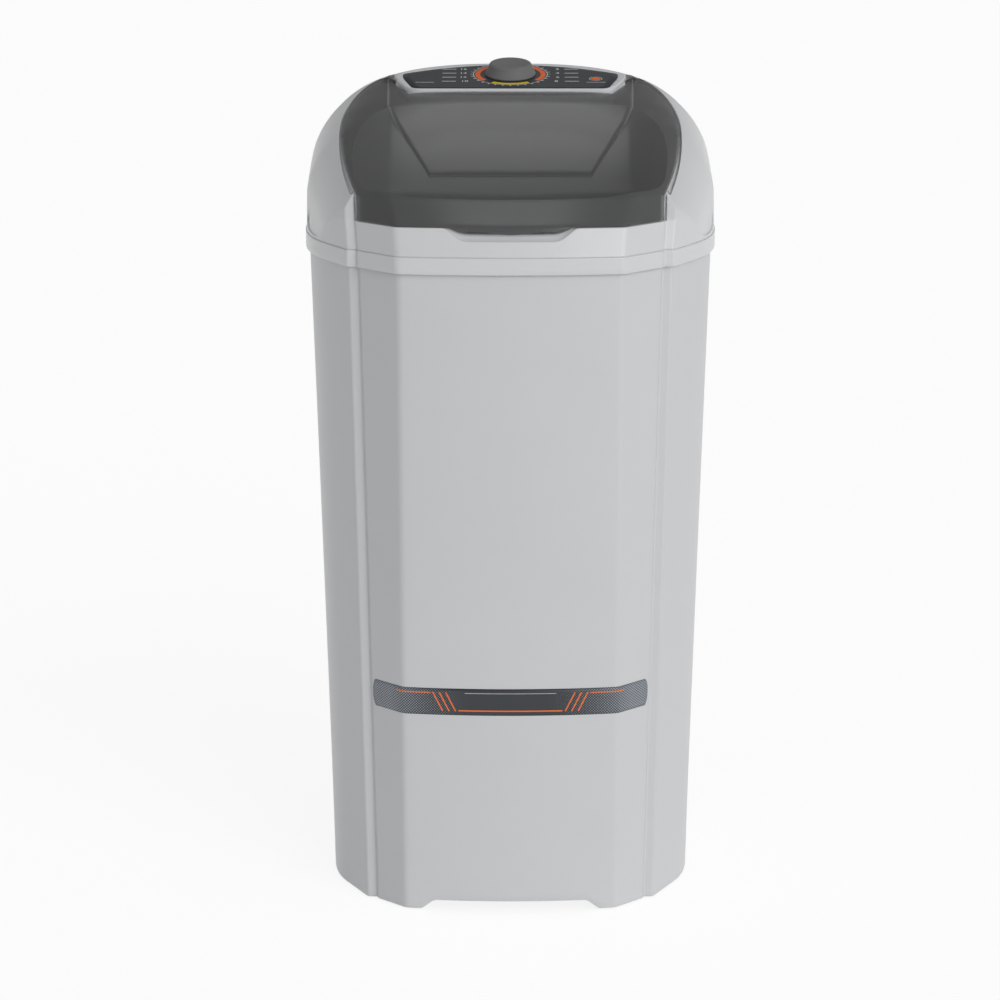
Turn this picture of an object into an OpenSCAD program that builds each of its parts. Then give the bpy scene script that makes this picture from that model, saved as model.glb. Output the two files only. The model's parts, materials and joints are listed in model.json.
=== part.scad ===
// Semi-automatic washing machine with a tapered plastic cabinet, a domed top cover,
// a smoky hinged lid, a belt-driven agitator and a spring-wound wash timer.
// Millimetres. +Z is up, the front faces -Y, and the origin is the middle of the footprint.

/* [Cabinet] */
// Height of the cabinet shell above the floor
cab_h = 812; // [780:1:860]
// Width of the cabinet at its rim
cab_w = 508; // [500:1:520]
// Width of the cabinet at the floor
cab_w_foot = 464; // [450:1:480]
// Depth of the cabinet at its rim
cab_d = 494; // [486:1:506]
// Depth of the cabinet at the floor
cab_d_foot = 472; // [460:1:484]
// Wall of the cabinet
cab_wall = 3; // [2.5:0.1:4]
// Distance between the two front creases at the rim
crease_w = 268; // [250:1:280]
// Distance between the two front creases at the floor
crease_w_foot = 262; // [246:1:272]
// How far the front panel bows forward between its creases
front_bow = 11; // [6:0.5:14]
// Width of each slanted facet at the rim
facet_w = 48; // [40:1:52]
// Width of each slanted facet at the floor
facet_w_foot = 35; // [30:1:40]
// Depth of each slanted facet at the rim
facet_d = 51; // [44:1:56]
// Depth of each slanted facet at the floor
facet_d_foot = 33; // [28:1:40]
// Width of the narrow ledge beside each facet
ledge_w = 12; // [8:0.5:14]
// Height of the kick recess in the front edge
kick_h = 12; // [8:0.5:20]
// Width of the kick recess at the floor
kick_w = 218; // [180:1:230]
// How far the rubber feet hold the cabinet off the floor
foot_gap = 2; // [1:0.5:4]
// Height of the printed strip's lower edge
strip_z = 257; // [200:1:400]
// Height of the printed strip
strip_h = 34; // [24:1:44]

/* [Top cover] */
// Height of the skirt band that laps over the cabinet
skirt_h = 21; // [16:0.5:30]
// How far the skirt laps down over the cabinet
skirt_lap = 7; // [5:0.5:12]
// How far the skirt stands proud of the cabinet
skirt_over = 5; // [4:0.5:6]
// Wall of the top cover
cover_wall = 3; // [2.5:0.1:3.5]
// Height of the lid's front edge
lid_front_z = 861; // [856:1:868]
// Height of the crease above the lid's fascia
fascia_z = 892; // [886:1:900]
// Height of the deck at the front of the control panel
panel_front_z = 986; // [980:1:992]
// Height of the ridge behind the control panel
ridge_z = 1012; // [1008:1:1020]
// How far the deck falls from its middle to the side walls
arch_drop = 126; // [110:1:132]
// Half width of the dome over the widest part of the machine
arch_half = 260; // [258:1:264]
// Half width of the dome at the front corners
arch_half_front = 225; // [220:1:232]

/* [Lid] */
// Thickness of the lid
lid_t = 3; // [2.5:0.1:3.5]
// Gap between the lid and the cover around it
lid_gap = 1.6; // [1.2:0.1:2.2]
// Depth of the recess that the lid lies in
lid_recess = 6; // [5:0.5:7]
// How far the lid swings open
lid_open = 88; // [60:1:92]
// Width of the finger tab at its root
tab_w = 154; // [130:1:170]
// Height of the finger tab
tab_h = 9; // [7:0.5:14]
// Diameter of the hinge pins
hinge_pin_d = 5; // [4:0.5:5]
// Running clearance of the hinge pins
pin_clear = 0.1; // [0.08:0.01:0.15]

/* [Control panel] */
// Width of the control panel bezel
panel_w = 297; // [290:1:300]
// Tilt of the control panel
panel_tilt = 11; // [9:0.5:12]
// Thickness of the bezel
bezel_t = 6; // [5:0.5:7]
// Width of the silver frame round the dark overlay
bezel_rim = 10; // [8:0.5:14]
// Diameter of the knob at its foot
knob_d = 66; // [56:1:70]
// Diameter of the knob at its top
knob_top_d = 53; // [44:1:58]
// Height of the knob
knob_h = 15; // [13:0.5:17]
// Diameter of the timer shaft
timer_shaft_d = 6; // [5:0.5:7]
// Depth of the timer body
timer_h = 34; // [28:1:40]

/* [Tub] */
// Inner radius of the tub at its rim
tub_r = 222; // [216:1:226]
// Inner radius of the tub near its floor
tub_r_floor = 188; // [184:1:194]
// Height of the tub floor
tub_z = 292; // [285:1:310]
// Wall of the tub
tub_wall = 2.5; // [2.2:0.1:3]
// Depth of the agitator well in the tub floor
well_d = 12; // [8:0.5:16]
// Bore of the drain
drain_bore = 26; // [22:1:30]

/* [Agitator and drive] */
// Diameter of the agitator
agitator_d = 250; // [230:2:252]
// Number of agitator fins
fin_count = 6; // [4:1:8]
// Height of the agitator fins at the hub
fin_h = 46; // [36:1:56]
// Diameter of the agitator shaft
shaft_d = 14; // [12:0.5:16]
// Running clearance of the shafts in their bushes
run_clear = 0.05; // [0.03:0.01:0.1]
// Diameter of the driven pulley
pulley_d = 200; // [190:1:204]
// Diameter of the motor pulley
motor_pulley_d = 48; // [44:1:54]
// Distance between the agitator shaft and the motor shaft
belt_centres = 150; // [146:1:154]
// Diameter of the motor
motor_d = 124; // [116:1:126]
// Height of the motor body
motor_h = 108; // [96:1:112]
// Diameter of the motor shaft
motor_shaft_d = 12; // [10:0.5:13]

/* [Lint filter] */
// Width of the lint filter
filter_w = 84; // [70:1:96]
// Height of the lint filter
filter_h = 150; // [120:1:170]
// Thickness of the lint filter
filter_t = 16; // [13:0.5:18]
// How far the filter lifts out
filter_lift = 130; // [60:1:140]

/* [Hidden] */
$fn = 64;

// Plan outline: one list of sizes for each level of the body
// [half width, front, back, half crease, facet width, facet depth, rear corner]
rear_corner = 125;
ledge_step = 6;
ledge_shift = 2;
side_lead = [37, 71];
side_top = 115;
side_y = 30;
arc_pull = 0.4477;
bow_steps = 3;
side_steps = 7;
corner_steps = 7;
foot_sizes = [cab_w_foot / 2, cab_d_foot / 2, cab_d_foot / 2, crease_w_foot / 2,
    facet_w_foot, facet_d_foot, rear_corner];
rim_sizes = [cab_w / 2, cab_d / 2, cab_d / 2, crease_w / 2, facet_w, facet_d, rear_corner];
function lerp(a, b, t) = a + (b - a) * t;
function grow(s, t) = [s[0] + t, s[1] + t, s[2] + t, s[3] + 0.4 * t, s[4], s[5], s[6]];
function level(z) = lerp(foot_sizes, rim_sizes, z / cab_h);
function bez(p, t) = p[0] * pow(1 - t, 3) + 3 * p[1] * t * pow(1 - t, 2)
    + 3 * p[2] * t * t * (1 - t) + p[3] * pow(t, 3);
function half_plan(s) =
    let (crease = [s[3], front_bow - s[1]],
        facet = crease + [s[4], s[5]],
        ledge_in = facet + [ledge_shift, ledge_step],
        ledge_out = ledge_in + [ledge_w, ledge_shift / 2],
        wide = [s[0], side_y],
        r = min(s[6], s[2] - side_y - 1))
    concat(
        [for (i = [0 : bow_steps - 1]) let (u = i / bow_steps) [s[3] * u, front_bow * u * u - s[1]]],
        [crease, facet, ledge_in],
        [for (i = [0 : side_steps])
            bez([ledge_out, ledge_out + side_lead, wide - [2, side_top], wide], i / side_steps)],
        [for (i = [0 : corner_steps])
            bez([[s[0], s[2] - r], [s[0], s[2] - r * arc_pull], [s[0] - s[6] * arc_pull, s[2]],
                [s[0] - s[6], s[2]]], i / corner_steps)]);
function plan(s) = let (h = half_plan(s))
    concat(h, [for (i = [len(h) - 1 : -1 : 1]) [-h[i][0], h[i][1]]]);

// A closed body through the plan outlines of several levels, each [height, sizes]
module loft(levels) {
    rings = [for (l = levels) [for (p = plan(l[1])) [p[0], p[1], l[0]]]];
    n = len(rings[0]);
    m = len(rings);
    foot = n * m;
    polyhedron(
        points = concat([for (r = rings) each r],
            [[0, 0, levels[0][0]], [0, 0, levels[m - 1][0]]]),
        faces = concat(
            [for (i = [0 : n - 1]) [foot, i, (i + 1) % n]],
            [for (k = [0 : m - 2]) for (i = [0 : n - 1]) let (a = k * n, b = a + n, j = (i + 1) % n)
                each [[a + i, b + i, b + j], [a + i, b + j, a + j]]],
            [for (i = [0 : n - 1]) [foot + 1, (m - 1) * n + (i + 1) % n, (m - 1) * n + i]]));
}

// Deck of the top cover: its middle line, and the fall towards the sides
lip_y = cab_d / 2 - 9;
fascia_y = lip_y - 28;
panel_y = 85;
ridge_y = 205;
arch_power = 4.5;
flat_half = 150;
flat_front = 0.25;
lid_crown = 5;
function middle(y) = lookup(y, [[-lip_y, lid_front_z], [-fascia_y, fascia_z],
    [panel_y, panel_front_z], [ridge_y, ridge_z], [ridge_y + 80, ridge_z + 4]])
    + lid_crown * sin(180 * min(1, max(0, (y + fascia_y) / (fascia_y + panel_y))));
function half_dome(y) = lookup(y, [[lid_corner[1], arch_half_front], [side_y, arch_half]]);
function fall(x, y) = arch_drop
    * (1 - sqrt(max(0, 1 - pow(min(1, abs(x) / half_dome(y)), arch_power))));
function flatness(y) = lookup(y, [[-fascia_y, flat_front], [ridge_y, 1]]);
function deck(x, y) = let (xm = min(abs(x), flat_half))
    max(skirt_top + shoulder, middle(y) - flatness(y) * fall(xm, y) - fall(x, y) + fall(xm, y));
deck_reach = cab_w / 2 + 8;
deck_x = [0, 55, 105, 140, for (d = [97, 77, 60, 46, 34, 24, 16, 10, 5, 0]) deck_reach - d];
deck_y = [-cab_d / 2 - 15, -lip_y, -fascia_y, 50 - fascia_y, 105 - fascia_y, -50, 5, 45, panel_y,
    ridge_y - 60, ridge_y, cab_d / 2 + 15];
deck_foot = 500;

// Everything that lies under the deck, lowered by drop
module under_deck(drop) {
    n = len(deck_x);
    xs = concat([for (i = [n - 1 : -1 : 1]) -deck_x[i]], deck_x);
    w = len(xs);
    d = len(deck_y);
    top = [for (y = deck_y) for (x = xs) [x, y, deck(x, y) - drop]];
    c = w * d;
    x1 = deck_x[n - 1];
    y0 = deck_y[0];
    y1 = deck_y[d - 1];
    polyhedron(
        points = concat(top, [[-x1, y0, deck_foot], [x1, y0, deck_foot], [x1, y1, deck_foot],
            [-x1, y1, deck_foot]]),
        faces = concat(
            [for (j = [0 : d - 2]) for (i = [0 : w - 2]) let (a = j * w + i)
                each i < n - 1 ? [[a, a + w, a + 1], [a + w, a + w + 1, a + 1]]
                    : [[a, a + w, a + w + 1], [a, a + w + 1, a + 1]]],
            [[c, c + 1, c + 2, c + 3]],
            [concat([c], [for (i = [0 : w - 1]) i], [c + 1])],
            [concat([c + 1], [for (j = [0 : d - 1]) j * w + w - 1], [c + 2])],
            [concat([c + 2], [for (i = [w - 1 : -1 : 0]) (d - 1) * w + i], [c + 3])],
            [concat([c + 3], [for (j = [d - 1 : -1 : 0]) j * w], [c])]));
}

// Outer walls of the top cover
skirt_z = cab_h - skirt_lap;
skirt_top = skirt_z + skirt_h;
skirt_sizes = grow(rim_sizes, skirt_over);
upper_sizes = grow(rim_sizes, cover_wall + 0.5);
shoulder = 2;
deck_top = ridge_z + 8;
lean_slope = (lip_y - fascia_y) / (fascia_z - lid_front_z);
function lip_sizes(t) = let (s = upper_sizes)
    [s[0] - t, lip_y - t, s[2] - t, s[3] + 3 - 0.4 * t, s[4], s[5], s[6]];
function fascia_sizes(t) = let (s = upper_sizes)
    [s[0] - t, fascia_y - t, s[2] - 2 - t, s[3] + 12 - 0.4 * t, s[4] - 8, s[5] - 6, s[6]];
function top_sizes(t) = let (s = upper_sizes)
    [s[0] - t, fascia_y - (deck_top - fascia_z) * lean_slope - t, ridge_y - t, s[3] + 12 - 0.4 * t,
        s[4] - 8, s[5] - 6, s[0] - 2];
module cover_walls(t, bottom) {
    loft([[bottom, grow(skirt_sizes, -t)], [skirt_top - shoulder / 2, grow(skirt_sizes, -t)],
        [skirt_top + shoulder / 2, grow(upper_sizes, -t)], [lid_front_z, lip_sizes(t)],
        [fascia_z, fascia_sizes(t)], [deck_top, top_sizes(t)]]);
}

// Outlines seen from above: the lid, the laundry mouth and the control panel
lid_corner = [187, 38 - fascia_y];
lid_wide = [214.5, 45];
ear_back = 176;
ear_in = panel_w / 2 + lid_gap;
lid_steps = 6;
bezel_front_half = 129;
bezel_corner_y = 45;
ear_notch_y = panel_y + bezel_corner_y + 4;
function mirror_pts(h) = concat(h, [for (i = [len(h) - 1 : -1 : 0]) [-h[i][0], h[i][1]]]);
ear_trim = 2;
function lid_side(back) = concat(
    [for (i = [0 : lid_steps])
        bez([lid_corner, lid_corner + [13, 60], lid_wide - [0, 85], lid_wide], i / lid_steps)],
    [for (i = [1 : lid_steps])
        bez([lid_wide, lid_wide + [0, 65], [ear_in + 45, back], [ear_in, back]], i / lid_steps)]);
module lid_plan(back) {
    polygon(mirror_pts(concat([[lid_corner[0], -cab_d]], lid_side(back),
        [[ear_in, ear_notch_y], [bezel_front_half + lid_gap, panel_y - lid_gap]])));
}
module recess_plan() {
    offset(delta = lid_gap) lid_plan(ear_back);
}
mouth_front = 4 - fascia_y;
mouth_back = 66;
mouth_half = 198;
mouth_steps = 5;
function mouth_side() = concat(
    [for (i = [0 : mouth_steps])
        bez([[85, mouth_front], [160, mouth_front], [mouth_half - 12, mouth_front + 36],
            [mouth_half - 8, -90]], i / mouth_steps)],
    [for (i = [1 : mouth_steps])
        bez([[mouth_half - 8, -90], [mouth_half, -40], [mouth_half + 2, 60], [150, mouth_back]],
            i / mouth_steps)]);
module mouth_plan(t) {
    offset(delta = t)
        polygon(mirror_pts(mouth_side()));
}
panel_origin = [0, panel_y + 7, panel_front_z + bezel_t];
bezel_side_y = 66;
bezel_back_y = 112;
bezel_steps = 6;
function bezel_side(t) = concat(
    [[bezel_front_half - 0.4 * t, t - 6], [panel_w / 2 - t, bezel_corner_y]],
    [for (i = [0 : bezel_steps]) let (x = (panel_w / 2 - t) * (1 - i / bezel_steps))
        [x, bezel_back_y - t - (bezel_back_y - bezel_side_y) * pow(x * 2 / panel_w, 2)]]);
function bezel_plan(t) = let (h = bezel_side(t))
    concat(h, [for (i = [len(h) - 2 : -1 : 0]) [-h[i][0], h[i][1]]]);

// Puts a piece on the control panel, with its z axis square to the overlay
module on_panel() {
    translate(panel_origin) rotate([panel_tilt, 0, 0]) children();
}
knob_y = 60;
overlay_t = 0.6;
overlay_clear = 0.3;

// Hinge of the lid: a knuckle under each ear turns on a pin held beside it under the panel
hinge_y = 170;
hinge_z = deck(ear_in, ear_back) - 8.3;
hinge_len = 10;
hinge_boss_r = 4.5;
hinge_boss_w = 10;
hinge_boss_x = ear_in - 1 - hinge_boss_w / 2;
hinge_x = ear_in + 1 + hinge_len / 2;
swing_r = 9.6;
module at_hinges() {
    for (s = [0, 1]) mirror([s, 0, 0]) translate([0, hinge_y, hinge_z]) rotate([0, 90, 0]) children();
}

// Levels under the tub
hub_t = 10;
hub_r = 62;
well_r = agitator_d / 2 + 5;
well_z = tub_z - well_d;
tub_under = well_z - hub_t;
flange_t = 3;
gasket_t = 2;
housing_flange_t = 5;
housing_flange_r = 52;
bolt_circle = 42;
bolt_d = 5;
housing_z = tub_under - gasket_t - housing_flange_t;
housing_len = 62;
housing_foot = housing_z - housing_len;
pulley_h = 20;
belt_z = housing_foot - pulley_h / 2 - 4;
belt_w = 9;
belt_t = 7;
bracket_t = 3;
plate_z = belt_z - pulley_h / 2 - 18;
motor_top = plate_z - bracket_t;
guard_z = 16;
guard_t = 3;

// Places on the cabinet and under it
boss_r = 7;
boss_h = 26;
screw_d = 4;
screw_spots = [[150, -150], [-150, -150], [185, 60], [-185, 60], [120, 185], [-120, 185]];
foot_spots = [[120, -175], [-120, -175], [165, 150], [-165, 150]];
foot_r = 16;
post_r = 8;
post_spots = [[88, 112], [-88, 112], [88, 160], [-88, 160]];
outlet_x = 120;
outlet_z = 95;
drain_y = 95;
hose_wall = 3;
spigot_wall = 3;
hose_bore_r = drain_bore / 2 + spigot_wall;
hose_bend = 35;
pocket_w = 110;
pocket_h = 96;
pocket_depth = 38;
pocket_y = cab_d_foot / 2 - pocket_depth;
channel_r = 24;
channel_y = cab_d / 2 + 3;
channel_top = 730;
hook_z = 690;
gland_x = -70;
gland_z = 110;
gland_d = 16;
inlet_x = -118;
inlet_z = 868;
inlet_d = 26.4;
niche_r = 29;
niche_depth = 18;
niche_y = upper_sizes[2] - niche_depth;
fit = 0.1;
lead_r = 4;
lead_x = 13;
lead_y = 232;

module kick_recess() {
    translate([0, -cab_d / 2, 0]) rotate([90, 0, 0]) linear_extrude(height = 120, center = true)
        polygon([[-kick_w / 2, -1], [kick_w / 2, -1], [kick_w / 2 - 15, foot_gap + kick_h],
            [15 - kick_w / 2, foot_gap + kick_h]]);
}
module hose_pocket(t) {
    translate([outlet_x, pocket_y + 30 - t, outlet_z])
        cube([pocket_w + 2 * t, 60, pocket_h + 2 * t], center = true);
    translate([outlet_x, channel_y, outlet_z]) cylinder(r = channel_r + t, h = channel_top + t - outlet_z);
}
module cabinet_body(t) {
    loft([[foot_gap - (t > 0 ? 1 : 0), grow(level(foot_gap), -t)],
        [cab_h + (t > 0 ? 1 : 0), grow(rim_sizes, -t)]]);
}
module cabinet() {
    color("gainsboro") difference() {
        union() {
            difference() {
                cabinet_body(0);
                cabinet_body(cab_wall);
            }
            intersection() {
                cabinet_body(0);
                hose_pocket(cab_wall);
            }
            for (p = screw_spots) translate([p[0], p[1], guard_z + guard_t]) {
                cylinder(r = boss_r, h = boss_h);
                rotate([0, 0, atan2(p[1], p[0])]) intersection() {
                    translate([boss_r - 2, -2, 0]) cube([60, 4, boss_h]);
                    rotate([0, 0, -atan2(p[1], p[0])]) translate([-p[0], -p[1], -guard_z - guard_t])
                        cabinet_body(1);
                }
            }
        }
        hose_pocket(0);
        kick_recess();
        for (p = screw_spots) translate([p[0], p[1], guard_z]) cylinder(d = screw_d, h = boss_h);
        translate([outlet_x, pocket_y, outlet_z]) rotate([90, 0, 0])
            cylinder(r = hose_bore_r + fit, h = 20, center = true);
        translate([gland_x, cab_d_foot / 2, gland_z]) rotate([90, 0, 0])
            cylinder(d = gland_d + 2 * fit, h = 40, center = true);
        for (s = [-1, 1]) translate([s * cover_screw_x, cab_d / 2, cover_screw_z])
            rotate([90, 0, 0]) cylinder(d = screw_d, h = 20, center = true);
    }
}
module base_guard() {
    slot_rows = [-110, 0, 105];
    color("dimgray") difference() {
        union() {
            translate([0, 0, guard_z]) linear_extrude(height = guard_t)
                polygon(plan(grow(level(guard_z), -cab_wall - 1)));
            for (p = screw_spots) translate([p[0], p[1], guard_z - 2]) cylinder(r = 9, h = 3);
            translate([0, 0, guard_z + guard_t]) difference() {
                cylinder(r = 80, h = 5);
                translate([0, 0, -1]) cylinder(r = 77, h = 7);
            }
        }
        for (p = screw_spots) translate([p[0], p[1], 0]) cylinder(d = screw_d, h = 40);
        for (p = foot_spots) translate([p[0], p[1], 0]) cylinder(r = 5 + fit, h = 40);
        for (x = [-48 : 12 : 48]) for (y = slot_rows)
            translate([x - 3, y - 25, 0]) cube([6, 50, 40]);
    }
}
module rubber_feet() {
    color([0.12, 0.12, 0.12]) for (p = foot_spots) translate([p[0], p[1], 0]) rotate_extrude()
        polygon([[0, 0], [foot_r - 2, 0], [foot_r, 2], [foot_r - 2, guard_z], [5, guard_z],
            [5, guard_z + guard_t], [7, guard_z + guard_t], [5, guard_z + guard_t + 3],
            [0, guard_z + guard_t + 3]]);
}
module pan_screw(d, l) {
    translate([0, 0, -l]) cylinder(d = d, h = l + 0.5);
    difference() {
        cylinder(d1 = d * 2, d2 = d * 1.4, h = d * 0.6);
        translate([0, 0, d * 0.3]) linear_extrude(height = d) union() {
            square([d, d * 0.22], center = true);
            square([d * 0.22, d], center = true);
        }
    }
}
module hex_bolt(d, l) {
    translate([0, 0, -l]) cylinder(d = d, h = l + 0.5);
    cylinder(d = d * 1.8, h = d * 0.65, $fn = 6);
}
module base_screws() {
    color("silver") for (p = screw_spots) translate([p[0], p[1], guard_z - 2]) rotate([180, 0, 0])
        pan_screw(screw_d, 20);
}
module front_strip() {
    film = 0.4;
    end_r = 5;
    half = lerp(crease_w_foot, crease_w, strip_z / cab_h) / 2
        + lerp(facet_w_foot, facet_w, strip_z / cab_h) - 2;
    color([0.2, 0.21, 0.23]) intersection() {
        difference() {
            loft([[foot_gap, grow(level(foot_gap), film)], [cab_h, grow(rim_sizes, film)]]);
            cabinet_body(0);
        }
        translate([0, -cab_d / 2, strip_z]) rotate([90, 0, 0])
            linear_extrude(height = 240, center = true) difference() {
                translate([-half, 0]) square([2 * half, strip_h]);
                for (s = [-1, 1]) for (v = [0, 1]) translate([s * half, v * strip_h])
                    rotate(45) square(end_r * sqrt(2), center = true);
            }
    }
}

// Top cover
cover_screw_x = 70;
cover_screw_z = cab_h - 3.5;
rib_t = 3;
rib_w = 8;
module lid_column(t) {
    translate([0, 0, lid_front_z - lid_gap - t]) linear_extrude(height = 300)
        offset(delta = t) recess_plan();
}
module lid_block() {
    difference() {
        lid_column(cover_wall);
        intersection() {
            cover_walls(lid_recess + cover_wall, skirt_z - 2);
            under_deck(lid_recess + cover_wall);
        }
    }
}
well_extra = 12;
module hinge_well(t) {
    x0 = ear_in - lid_gap / 2 - t;
    w = hinge_len + well_extra + 2 * t;
    at_hinges() translate([0, 0, x0]) cylinder(r = swing_r + t, h = w);
    at_hinges() translate([-30, -swing_r - t, x0]) cube([30, swing_r + t, w]);
}
scoop_depth = 9;
scoop_drop = 8.7;
tab_slant = 19.5;
module on_lip() {
    lean = atan((upper_sizes[1] - lip_y) / (lid_front_z - skirt_top));
    translate([0, -lip_y, lid_front_z]) rotate([90 - lean, 0, 0]) children();
}
module scoop(t) {
    half = tab_w / 2 + lid_gap;
    on_lip() translate([0, 0, -scoop_depth - t]) linear_extrude(height = 60) offset(delta = t)
        polygon([[-half, 12], [half, 12], [half, 0], [half - tab_slant, -tab_h - scoop_drop],
            [tab_slant - half, -tab_h - scoop_drop], [-half, 0]]);
}
module cover_outer() {
    intersection() {
        cover_walls(0, skirt_z);
        under_deck(0);
    }
}
bezel_clear = 0.3;
plinth_wall = 3;
plinth_h = 4;
module panel_plinth() {
    on_panel() translate([0, 0, -bezel_t - plinth_h]) linear_extrude(height = plinth_h)
        polygon(bezel_plan(0.5));
    on_panel() translate([0, 0, -bezel_t - 12]) linear_extrude(height = 10) difference() {
        polygon(bezel_plan(0.5));
        polygon(bezel_plan(0.5 + plinth_wall));
    }
}
module top_cover() {
    color("silver") difference() {
        union() {
            difference() {
                cover_outer();
                difference() {
                    intersection() {
                        cover_walls(cover_wall, skirt_z - 1);
                        under_deck(cover_wall);
                    }
                    lid_block();
                    hinge_well(cover_wall);
                    scoop(cover_wall);
                    on_panel() translate([0, 0, -bezel_t - plinth_h]) linear_extrude(height = plinth_h + 12)
                        translate([-130, (ear_back + 2 - panel_origin[1]) / cos(panel_tilt)])
                        square([260, 60]);
                    translate([inlet_x, niche_y, inlet_z]) rotate([-90, 0, 0])
                        translate([0, 0, -cover_wall]) cylinder(r = niche_r + cover_wall, h = 60);
                    translate([0, 0, cab_h + flange_t]) linear_extrude(height = 300)
                        difference() {
                            mouth_plan(cover_wall);
                            mouth_plan(0);
                        }
                    translate([0, 0, cab_h + flange_t]) linear_extrude(height = rib_t)
                        difference() {
                            polygon(plan(grow(upper_sizes, -1)));
                            polygon(plan(grow(upper_sizes, -cover_wall - rib_w)));
                        }
                }
                difference() {
                    lid_column(0);
                    intersection() {
                        cover_walls(lid_recess, skirt_z - 2);
                        under_deck(lid_recess);
                    }
                }
                translate([0, 0, skirt_z]) linear_extrude(height = 300) mouth_plan(0);
                hinge_well(0);
                scoop(0);
                translate([inlet_x, niche_y, inlet_z]) rotate([-90, 0, 0]) cylinder(r = niche_r, h = 60);
                translate([inlet_x, niche_y, inlet_z]) rotate([90, 0, 0])
                    cylinder(d = inlet_d + 2 * fit, h = 20, center = true);
                for (s = [-1, 1]) translate([s * cover_screw_x, cab_d / 2, cover_screw_z])
                    rotate([90, 0, 0]) cylinder(d = screw_d, h = 20, center = true);
                on_panel() translate([0, 0, -bezel_t]) linear_extrude(height = 60)
                    offset(delta = bezel_clear) polygon(bezel_plan(0));
            }
            panel_plinth();
            at_hinges() translate([0, 0, hinge_boss_x - hinge_boss_w / 2]) {
                cylinder(r = hinge_boss_r, h = hinge_boss_w);
                translate([-4, -hinge_boss_r - 6, 0]) cube([4, 2 * hinge_boss_r + 6, hinge_boss_w]);
            }
        }
        on_panel() translate([0, knob_y, 0]) cube([timer_w + 6, timer_w + 6, 80], center = true);
        at_hinges() translate([0, 0, hinge_boss_x - hinge_boss_w / 2 - 1])
            cylinder(d = hinge_pin_d, h = hinge_boss_w + 2);
    }
}
timer_w = 58;
module cover_screws() {
    color("silver") for (s = [-1, 1]) translate([s * cover_screw_x, skirt_sizes[2], cover_screw_z])
        rotate([-90, 0, 0]) pan_screw(screw_d, 9);
}

// Lid
module lid() {
    color([0.15, 0.15, 0.16, 0.6]) difference() {
        union() {
            difference() {
                intersection() {
                    cover_outer();
                    translate([0, 0, lid_front_z]) linear_extrude(height = 300)
                        lid_plan(ear_back - ear_trim);
                }
                intersection() {
                    cover_walls(lid_t, skirt_z - 1);
                    under_deck(lid_t);
                }
            }
            on_lip() translate([0, 0, -lid_t]) linear_extrude(height = lid_t)
                polygon([[-tab_w / 2, 2], [tab_w / 2, 2], [tab_w / 2 - tab_slant, -tab_h],
                    [tab_slant - tab_w / 2, -tab_h]]);
            intersection() {
                at_hinges() translate([0, 0, hinge_x - hinge_len / 2]) {
                    cylinder(r = hinge_boss_r, h = hinge_len);
                    translate([-30, -hinge_boss_r, 0]) cube([30, 2 * hinge_boss_r - 1, hinge_len]);
                }
                under_deck(1);
            }
        }
        at_hinges() translate([0, 0, hinge_x - hinge_len / 2 - 1])
            cylinder(d = hinge_pin_d + 2 * pin_clear, h = hinge_len + 2);
    }
}
bumper_r = 3;
bumper_clear = 0.5;
bumper_cells = [
    [[deck_x[5], deck_y[3]], [deck_x[6], deck_y[4]]],
    [[deck_x[6], deck_y[6]], [deck_x[7], deck_y[7]]]];
module lid_bumpers() {
    color([0.1, 0.1, 0.1]) for (c = bumper_cells) {
        p = c[0];
        q = c[1];
        a = deck(p[0], p[1]);
        b = deck(q[0], p[1]);
        e = deck(p[0], q[1]);
        f = deck(q[0], q[1]);
        dx = (b + f - a - e) / 2 / (q[0] - p[0]);
        dy = (e + f - a - b) / 2 / (q[1] - p[1]);
        rise = norm([dx, dy, 1]);
        for (m = [0, 1]) mirror([m, 0, 0])
            translate([(p[0] + q[0]) / 2, (p[1] + q[1]) / 2, (a + f) / 2 - lid_recess])
                rotate([0, atan(norm([dx, dy])), atan2(-dy, -dx)])
                translate([0, 0, bumper_clear])
                cylinder(r = bumper_r, h = (lid_recess - lid_t) / rise - 2 * bumper_clear);
    }
}
module lid_hinge_pins() {
    color("silver") at_hinges() translate([0, 0, hinge_boss_x - hinge_boss_w / 2])
        cylinder(d = hinge_pin_d, h = hinge_x + hinge_len / 2 - hinge_boss_x + hinge_boss_w / 2);
}

// Control panel
module panel_bezel() {
    color("silver") on_panel() difference() {
        translate([0, 0, -bezel_t]) linear_extrude(height = bezel_t) polygon(bezel_plan(0));
        translate([0, 0, -overlay_t]) linear_extrude(height = 10)
            offset(delta = overlay_clear) polygon(bezel_plan(bezel_rim));
        translate([0, knob_y, 0]) cylinder(d = timer_shaft_d + 4, h = 60, center = true);
        for (s = [-1, 1]) translate([s * timer_w * 0.4, knob_y, 0])
            cylinder(d = screw_d, h = 60, center = true);
        for (s = [-1, 1]) translate([s * timer_w * 0.4, knob_y, -overlay_t - screw_d * 0.6])
            cylinder(d = screw_d * 2.2, h = 60);
    }
}
module panel_overlay() {
    color([0.2, 0.21, 0.23]) on_panel() translate([0, 0, -overlay_t]) difference() {
        linear_extrude(height = overlay_t) polygon(bezel_plan(bezel_rim));
        translate([0, knob_y, 0]) cylinder(d = timer_shaft_d + 4, h = 20, center = true);
    }
}
knob_gap = 0.8;
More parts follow.
